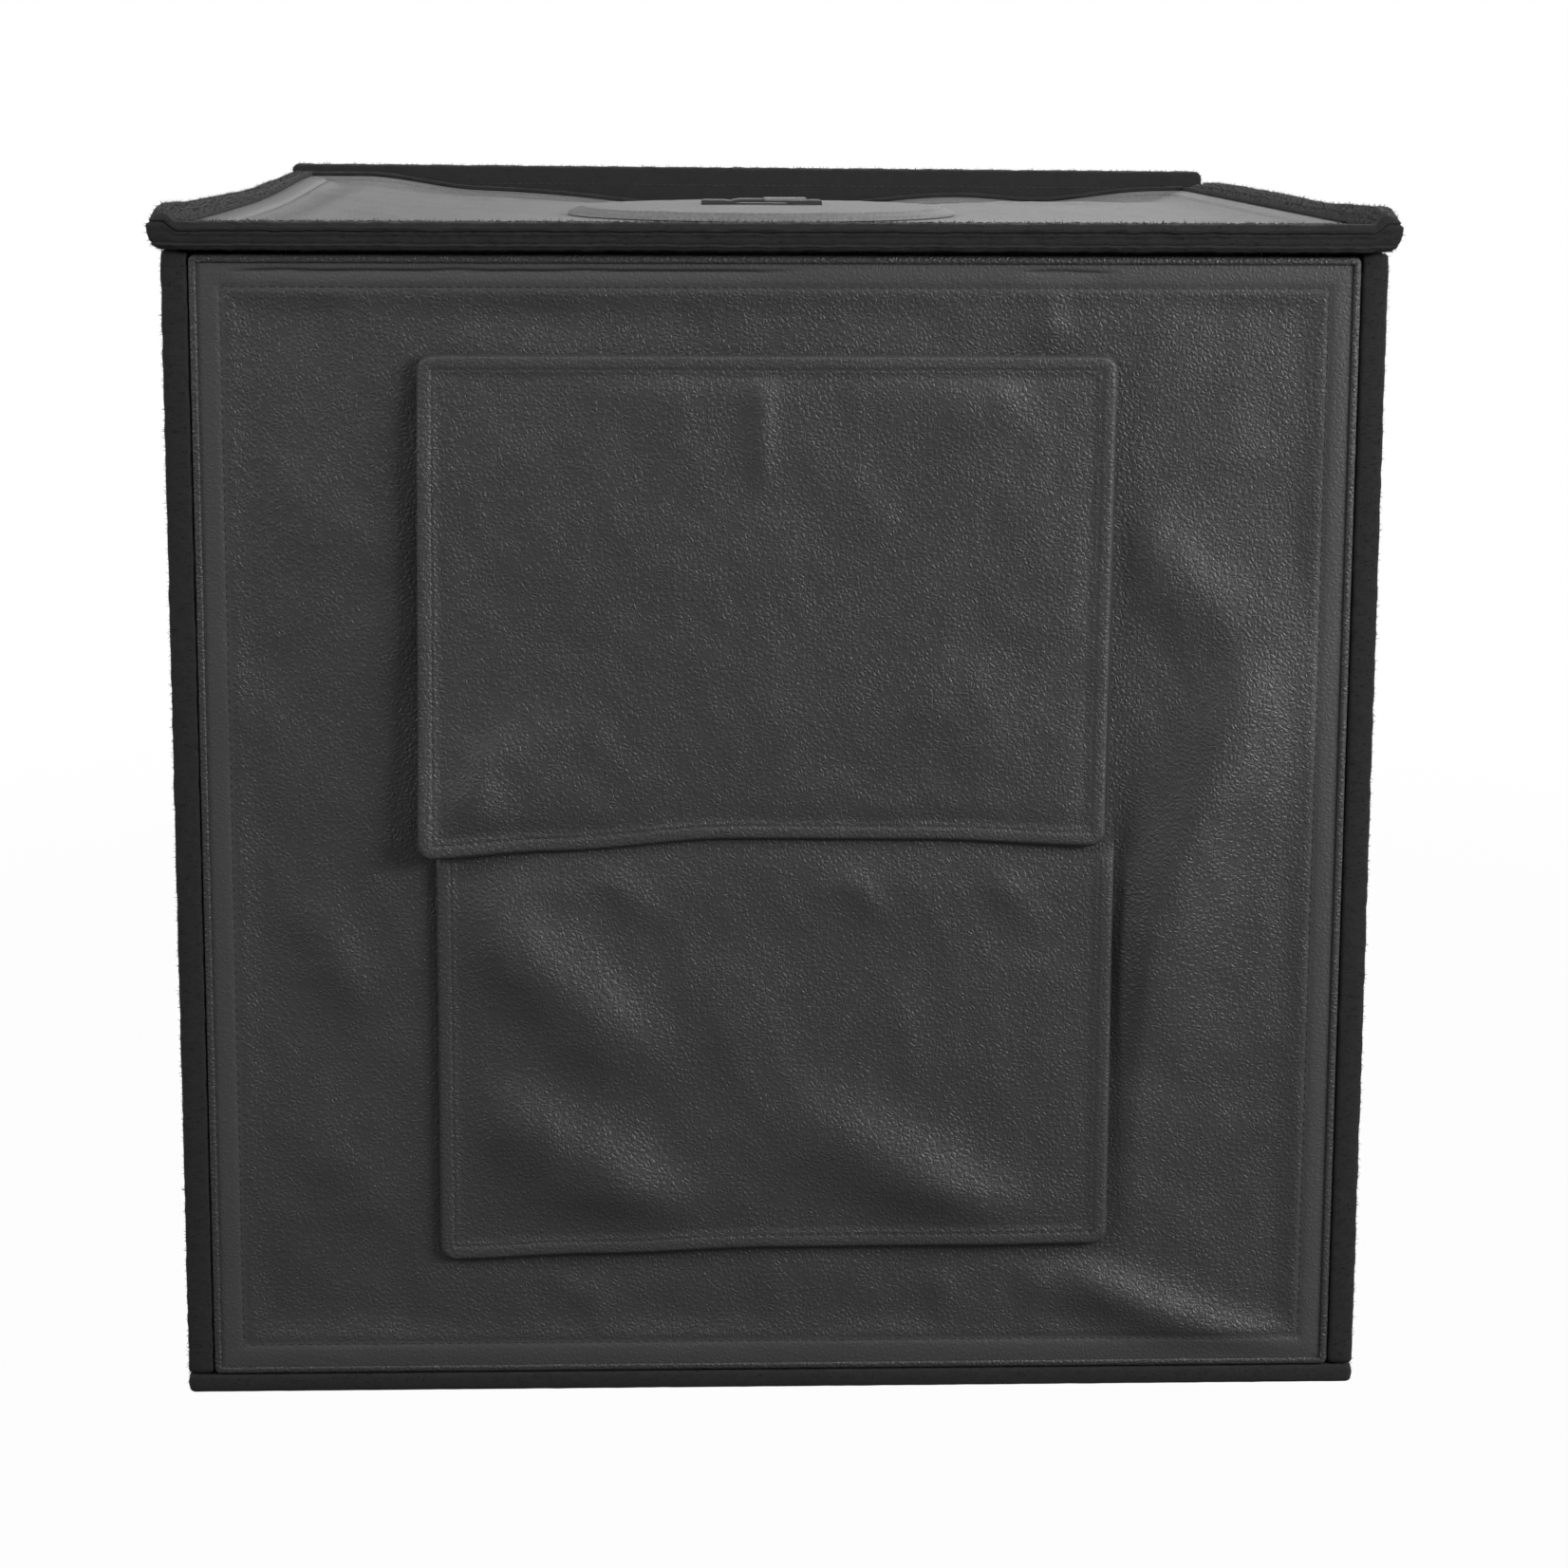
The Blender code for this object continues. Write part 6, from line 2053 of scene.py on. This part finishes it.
class LightTentBackdrop(bpy.types.Operator):
    """Make the white backdrop that sweeps from the rear wall over the base"""

    bl_idname = "light_tent.backdrop"
    bl_label = "Backdrop"

    def execute(self, context):
        low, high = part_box("backdrop")
        half = (high.x - low.x) / 2
        back, lie, bend = high.y, low.z, BACKDROP_BEND
        line = backdrop_line(back, lie, high.z, low.y)
        us = edge_lines(-half, half, (0, 1 * MM, 4 * MM), 8 * MM)
        points, places = [], []
        travel = 0.0
        for k, (y, z) in enumerate(line):
            before, after = line[max(k - 1, 0)], line[min(k + 1, len(line) - 1)]
            run = Vector((0, after[0] - before[0], after[1] - before[1])).normalized()
            inward = Vector((0, run.z, -run.y))
            travel += math.dist(before, (y, z))
            for u in us:
                swell = 0.35 * MM * abs(ripple(u, travel, 60, 3, 50))
                lip = 0.5 * MM * smooth_step((abs(u) - half + 14 * MM) / (14 * MM))
                base = Vector((u, y, z)) + inward * (swell + lip * smooth_step(travel / (40 * MM)))
                points += [base, base + inward * BACKDROP_SHEET]
                places += [(u, travel)] * 2
        faces = slab_faces(len(line), len(us))
        corner_places = [places[number] for face in faces for number in face]
        mesh = mesh_from("white_backdrop_sheet", points, faces, corner_places)
        piece = add_object("white_backdrop_sheet", mesh, "white_backdrop")
        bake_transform(piece)
        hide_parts("backdrop")
        return {"FINISHED"}


def extrusion(name, outline, low_x, high_x):
    """A closed outline of (y, z) points carried along X and capped at both ends."""
    count = len(outline)
    points = [(x, y, z) for x in (low_x, high_x) for y, z in outline]
    faces = [(k, (k + 1) % count, count + (k + 1) % count, count + k) for k in range(count)]
    faces += [tuple(reversed(range(count))), tuple(range(count, 2 * count))]
    bm = bmesh.new()
    made = [bm.verts.new(point) for point in points]
    for face in faces:
        bm.faces.new([made[number] for number in face])
    bmesh.ops.recalc_face_normals(bm, faces=bm.faces)
    bmesh.ops.triangulate(bm, faces=[face for face in bm.faces if len(face.verts) > 4])
    return mesh_of(bm, name, 30)


def channel_outline(low, high):
    """The light bar's channel: open below, with cooling grooves along its sides and two on its back."""
    half = (high.y - low.y) / 2
    middle = (high.y + low.y) / 2
    wall = 1.3 * MM
    groove, pitch = 0.45 * MM, 1.5 * MM
    soft = 0.4 * MM
    side = [(half - soft, high.z), (half, high.z - soft)]
    z = high.z - 1.6 * MM
    while z - pitch > low.z + 1.2 * MM:
        side += [
            (half, z), (half - groove, z - 0.25 * MM), (half - groove, z - 0.7 * MM), (half, z - 0.95 * MM),
        ]
        z -= pitch
    side += [(half, low.z + soft), (half - soft, low.z), (half - wall, low.z)]
    lip = 1.9 * MM
    side += [(half - wall, low.z + lip), (half - wall, high.z - wall)]
    right = [(middle + y, z) for y, z in side]
    left = [(middle - y, z) for y, z in reversed(side)]
    back = []
    for place in (-5 * MM, 5 * MM):
        back += [
            (middle + place - 0.9 * MM, high.z), (middle + place - 0.6 * MM, high.z - 0.5 * MM),
            (middle + place + 0.6 * MM, high.z - 0.5 * MM), (middle + place + 0.9 * MM, high.z),
        ]
    return right + left + back


def diffuser_outline(low, high):
    """A shallow lens with square shoulders."""
    middle = (low.y + high.y) / 2
    half = (high.y - low.y) / 2
    outline = [(middle - half, high.z), (middle - half, low.z + 0.5 * MM)]
    for step in range(9):
        share = step / 8 * 2 - 1
        outline.append((middle + (half - 0.5 * MM) * share, low.z + 0.42 * MM * share * share))
    outline += [(middle + half, low.z + 0.5 * MM), (middle + half, high.z)]
    return outline


class LightTentLightBars(bpy.types.Operator):
    """Make the light bars' channels, diffusers, caps and screws, the link lead and the socket"""

    bl_idname = "light_tent.light_bars"
    bl_label = "Light bars"

    def execute(self, context):
        screws = []
        for bar in ("front_light", "rear_light"):
            low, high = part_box(bar + "_channel")
            mesh = extrusion(bar + "_housing", channel_outline(low, high), low.x, high.x)
            piece = add_object(bar + "_housing", mesh, "bar_aluminium")
            settle(piece, "roof", "bar_aluminium", bar + "_channel")
            low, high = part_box(bar + "_diffuser")
            mesh = extrusion(bar + "_lens", diffuser_outline(low, high), low.x, high.x)
            piece = add_object(bar + "_lens", mesh, "bar_diffuser")
            settle(piece, "roof", "bar_diffuser", bar + "_diffuser")
            for end in ("left", "right"):
                node = f"{bar}_cap_{end}"
                soft_block(f"{bar}_end_{end}", node, "black_plastic", "roof", 0.8 * MM)
                low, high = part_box(node)
                for side in (-1, 1):
                    y = (low.y + high.y) / 2 + side * 9 * MM
                    outward = high.x if end == "left" else low.x - 0.45 * MM
                    screws.append(Vector((outward, y, (low.z + high.z) / 2)))
        values = {"Width": 3.2 * MM, "Height": 0.45 * MM}
        points = bpy.data.meshes.new("light_screw_places")
        points.from_pydata(screws, [], [])
        piece = grown("light_cap_screws", points, screw_placing(), values, "steel_rod")
        settle(piece, "roof", "steel_rod")
        add_link_lead()
        add_socket()
        return {"FINISHED"}


def add_link_lead():
    """The lead that joins the two bars, with a short sleeve where it enters each cap."""
    low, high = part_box("light_link_lead")
    radius = 1.5 * MM
    start = Vector((high.x, low.y + radius, high.z - radius))
    end = Vector((high.x, high.y - radius, high.z - radius))
    stem = 6 * MM
    bulge = high.x - low.x - radius - stem
    points = [start, start - Vector((stem / 2, 0, 0))]
    steps = 48
    for step in range(steps + 1):
        share = step / steps
        bow = math.sin(math.pi * share)
        reach = stem + bulge * math.sqrt(max(bow, 0))
        points.append(start.lerp(end, share) - Vector((reach, 0, 5 * MM * bow)))
    points += [end - Vector((stem / 2, 0, 0)), end]
    curve = bpy.data.curves.new("link_lead_path", "CURVE")
    curve.dimensions = "3D"
    curve.bevel_depth = radius
    curve.bevel_resolution = 4
    curve.use_fill_caps = True
    spline = curve.splines.new("POLY")
    spline.points.add(len(points) - 1)
    for point, place in zip(spline.points, points):
        point.co = (*place, 1)
        edge = min((place - start).length, (place - end).length)
        point.radius = 1.0 + 0.55 * smooth_step(1 - edge / (9 * MM))
    mesh = plain_mesh(put_in_scene("link_lead_holder", curve))
    mesh.shade_smooth()
    piece = add_object("light_joining_lead", mesh, "black_plastic")
    settle(piece, "roof", "black_plastic", "light_link_lead")


def add_socket():
    """The round socket for the supply lead, with a ribbed barrel and a centre pin."""
    low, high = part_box("supply_socket")
    radius = (high.z - low.z) / 2
    bore = 3.1 * MM
    length = high.x - low.x
    profile = [(0.0, 0.0), (radius - 0.3 * MM, 0.0), (radius, 0.3 * MM)]
    for rib in range(3):
        base = (1.6 + 1.5 * rib) * MM
        profile += [(radius, base), (radius - 0.35 * MM, base + 0.3 * MM), (radius, base + 0.7 * MM)]
    profile += [
        (radius, length - 0.5 * MM), (radius - 0.4 * MM, length), (bore + 0.3 * MM, length),
        (bore, length - 0.3 * MM), (bore, length - 7 * MM), (0.0, length - 7 * MM),
    ]
    middle = (low + high) / 2
    place = Matrix.Translation((low.x, middle.y, middle.z)) @ Matrix.Rotation(math.pi / 2, 4, "Y")
    barrel = add_lathe("supply_inlet", profile, 40, "black_plastic", place)
    settle(barrel, "roof", "black_plastic", "supply_socket")
    pin_radius = 0.9 * MM
    pin = [
        (0.0, length - 7 * MM), (pin_radius, length - 7 * MM), (pin_radius, length - 1.6 * MM),
        (pin_radius * 0.6, length - 1.1 * MM), (0.0, length - 1.0 * MM),
    ]
    piece = add_lathe("supply_inlet_pin", pin, 20, "eyelet_nickel", place)
    settle(piece, "roof", "eyelet_nickel")


def add_eyelet():
    """The rolled eyelet for the supply lead, the same inside and outside the wall."""
    low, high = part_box("lead_eyelet")
    middle = (low + high) / 2
    depth = high.y - low.y
    bore, flange = EYELET_BORE, EYELET_FLANGE
    half = [
        (bore, 0.9 * MM), (bore + 0.5 * MM, 0.25 * MM), (bore + 1.4 * MM, 0.0),
        (flange - 0.8 * MM, 0.15 * MM), (flange, 0.5 * MM), (flange - 0.5 * MM, 0.75 * MM),
        (bore + 0.6 * MM, 0.65 * MM),
    ]
    profile = half + [(radius, depth - height) for radius, height in reversed(half)]
    place = Matrix.Translation((middle.x, high.y, middle.z)) @ Matrix.Rotation(math.pi / 2, 4, "X")
    eyelet = add_lathe("rolled_eyelet", profile, 64, "eyelet_nickel", place, sharp=60)
    settle(eyelet, "rear_wall", "eyelet_nickel", "lead_eyelet")


class LightTentFittings(bpy.types.Operator):
    """Make the lead's eyelet, and finish the rods, the board and the light boards inside the cloth"""

    bl_idname = "light_tent.fittings"
    bl_label = "Fittings"

    def execute(self, context):
        add_eyelet()
        kept = {
            "steel_rod": [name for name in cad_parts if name.endswith("_rod")],
            "base_board": ["base_board"],
            "light_board": ["front_light_light_board", "rear_light_light_board"],
        }
        for finish_name, names in kept.items():
            for name in names:
                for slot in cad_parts[name].material_slots:
                    slot.material = finish(finish_name)
        return {"FINISHED"}


# The lamps: name, place, target, width and height in metres, and power in watts
LAMPS = (
    ("top", (0.1, -1.0, 1.6), (0, -0.2, 0.2), (1.3, 0.5), 7),
    ("side", (1.4, -1.0, 0.8), (0, -0.2, 0.2), (0.9, 0.5), 33),
    ("fill", (-1.5, -0.9, 0.9), (-0.1, -0.2, 0.2), (0.6, 0.8), 13),
    ("back", (0.5, 1.5, 1.0), (0, 0, 0.25), (1.4, 0.6), 14),
    ("left", (-1.5, 0.3, 1.0), (0, 0, 0.2), (0.6, 1.2), 15),
    ("right", (1.5, 0.3, 1.0), (0, 0, 0.2), (0.6, 1.2), 4),
)
WORLD_LIGHT = 0.1
FLOOR_REACH = 8.0
FLOOR_LEVEL = -0.05 * MM
FLOOR_GREY = 0.14
FLOOR_SEEN = 0.975
SHADOW_START = 0.35
SHADOW_END = 1.3


def add_area_light(name, place, target, size, power):
    """A soft rectangular lamp that faces a target."""
    data = bpy.data.lights.new(name, "AREA")
    data.shape = "RECTANGLE"
    data.size, data.size_y = size
    data.energy = power
    lamp = put_in_scene(name, data)
    direction = Vector(target) - Vector(place)
    lamp.matrix_world = Matrix.Translation(place) @ direction.to_track_quat("-Z", "Y").to_matrix().to_4x4()


def pale_world():
    """An even pale light, seen as white by the camera, also through glass."""
    world = bpy.data.worlds.new("studio_white")
    bpy.context.scene.world = world
    world.use_nodes = True
    tree = world.node_tree
    background = tree.nodes["Background"]
    path = tree.nodes.new("ShaderNodeLightPath")
    seen = tree.nodes.new("ShaderNodeMath")
    seen.operation = "MAXIMUM"
    tree.links.new(path.outputs["Is Camera Ray"], seen.inputs[0])
    tree.links.new(path.outputs["Is Transmission Ray"], seen.inputs[1])
    level = tree.nodes.new("ShaderNodeMapRange")
    tree.links.new(seen.outputs[0], level.inputs["Value"])
    level.inputs["To Min"].default_value = WORLD_LIGHT
    level.inputs["To Max"].default_value = 1.0
    tree.links.new(level.outputs[0], background.inputs["Strength"])
    background.inputs["Color"].default_value = (1, 1, 1, 1)


def floor_finish():
    """A pale floor that the camera sees as white, with the object's shadow kept."""
    made = Finish("studio_floor")
    tree = made.tree
    made.settle(base_color=(FLOOR_GREY, FLOOR_GREY, FLOOR_GREY, 1), roughness=0.9, specular_ior_level=0.1)
    glow = made.node("ShaderNodeEmission", {}, {"Color": (1, 1, 1, 1), "Strength": 1.0})
    place = made.object_place()
    distance = made.node("ShaderNodeVectorMath", {"operation": "LENGTH"}, {0: place}, "Value")
    share = made.spread(distance, SHADOW_START, SHADOW_END, FLOOR_SEEN, 1.0)
    seen = made.node("ShaderNodeLightPath", {}, {}, "Is Camera Ray") * share
    plain = Signal(made, made.shader.outputs[0])
    mixed = made.node("ShaderNodeMixShader", {}, {0: seen, 1: plain, 2: glow})
    tree.links.new(mixed.socket, tree.nodes["Material Output"].inputs["Surface"])
    return made.material


def add_floor():
    """The floor that the tent stands on."""
    mesh = bpy.data.meshes.new("studio_floor")
    around = ((-1, -1), (1, -1), (1, 1), (-1, 1))
    corners = [(x * FLOOR_REACH, y * FLOOR_REACH, FLOOR_LEVEL) for x, y in around]
    mesh.from_pydata(corners, [], [(0, 1, 2, 3)])
    mesh.materials.append(floor_finish())
    floor = put_in_scene("studio_floor", mesh)


def add_camera():
    """The photograph's camera: a little to the left, above the tent and looking down at it."""
    data = bpy.data.cameras.new("photo_camera")
    data.lens = CAMERA_LENS
    data.sensor_width = SENSOR_WIDTH
    data.shift_y = CAMERA_SHIFT
    data.clip_start = CAMERA_NEAREST
    camera = put_in_scene("photo_camera", data)
    ahead = Vector((math.sin(CAMERA_YAW), math.cos(CAMERA_YAW), 0)) * math.cos(CAMERA_PITCH)
    ahead.z = -math.sin(CAMERA_PITCH)
    right = Vector((math.cos(CAMERA_YAW), -math.sin(CAMERA_YAW), 0))
    up = right.cross(ahead)
    rolled_right = right * math.cos(CAMERA_ROLL) + up * math.sin(CAMERA_ROLL)
    rolled_up = up * math.cos(CAMERA_ROLL) - right * math.sin(CAMERA_ROLL)
    turned = Matrix((rolled_right, rolled_up, -ahead)).transposed().to_4x4()
    camera.matrix_world = Matrix.Translation(CAMERA_PLACE) @ turned
    bpy.context.scene.camera = camera


class LightTentStage(bpy.types.Operator):
    """Make the pale floor, the soft lamps and the camera"""

    bl_idname = "light_tent.stage"
    bl_label = "Studio and camera"

    def execute(self, context):
        add_floor()
        pale_world()
        for lamp in LAMPS:
            add_area_light(*lamp)
        add_camera()
        context.scene.view_settings.view_transform = "Standard"
        return {"FINISHED"}


class LightTentPanel(bpy.types.Panel):
    """Lists the parts of the tent and their sizes"""

    bl_idname = "VIEW3D_PT_light_tent"
    bl_label = "Light tent"
    bl_space_type = "VIEW_3D"
    bl_region_type = "UI"
    bl_category = "Light tent"

    def draw(self, context):
        scene = context.scene
        for group in (scene.light_tent_colours, scene.light_tent_cloth, scene.light_tent_sewing):
            box = self.layout.box()
            for key in group.bl_rna.properties.keys():
                if key not in ("rna_type", "name"):
                    box.prop(group, key)
        for operator in STEPS:
            self.layout.operator(operator.bl_idname)


STEPS = (
    LightTentStage, LightTentWallCovers, LightTentDoorCover, LightTentFlaps, LightTentRoof, LightTentHatch,
    LightTentLinings, LightTentBindings, LightTentHemStitches, LightTentTrim, LightTentBackdrop,
    LightTentLightBars, LightTentFittings,
)
GROUPS = (LightTentColours, LightTentCloth, LightTentSewing)


def register():
    for one in GROUPS + STEPS + (LightTentPanel,):
        bpy.utils.register_class(one)
    bpy.types.Scene.light_tent_colours = bpy.props.PointerProperty(type=LightTentColours)
    bpy.types.Scene.light_tent_cloth = bpy.props.PointerProperty(type=LightTentCloth)
    bpy.types.Scene.light_tent_sewing = bpy.props.PointerProperty(type=LightTentSewing)


def unregister():
    del bpy.types.Scene.light_tent_sewing
    del bpy.types.Scene.light_tent_cloth
    del bpy.types.Scene.light_tent_colours
    for one in reversed(GROUPS + STEPS + (LightTentPanel,)):
        bpy.utils.unregister_class(one)


def main():
    register()
    for step in STEPS:
        group, name = step.bl_idname.split(".")
        getattr(getattr(bpy.ops, group), name)()


if __name__ == "__main__":
    main()
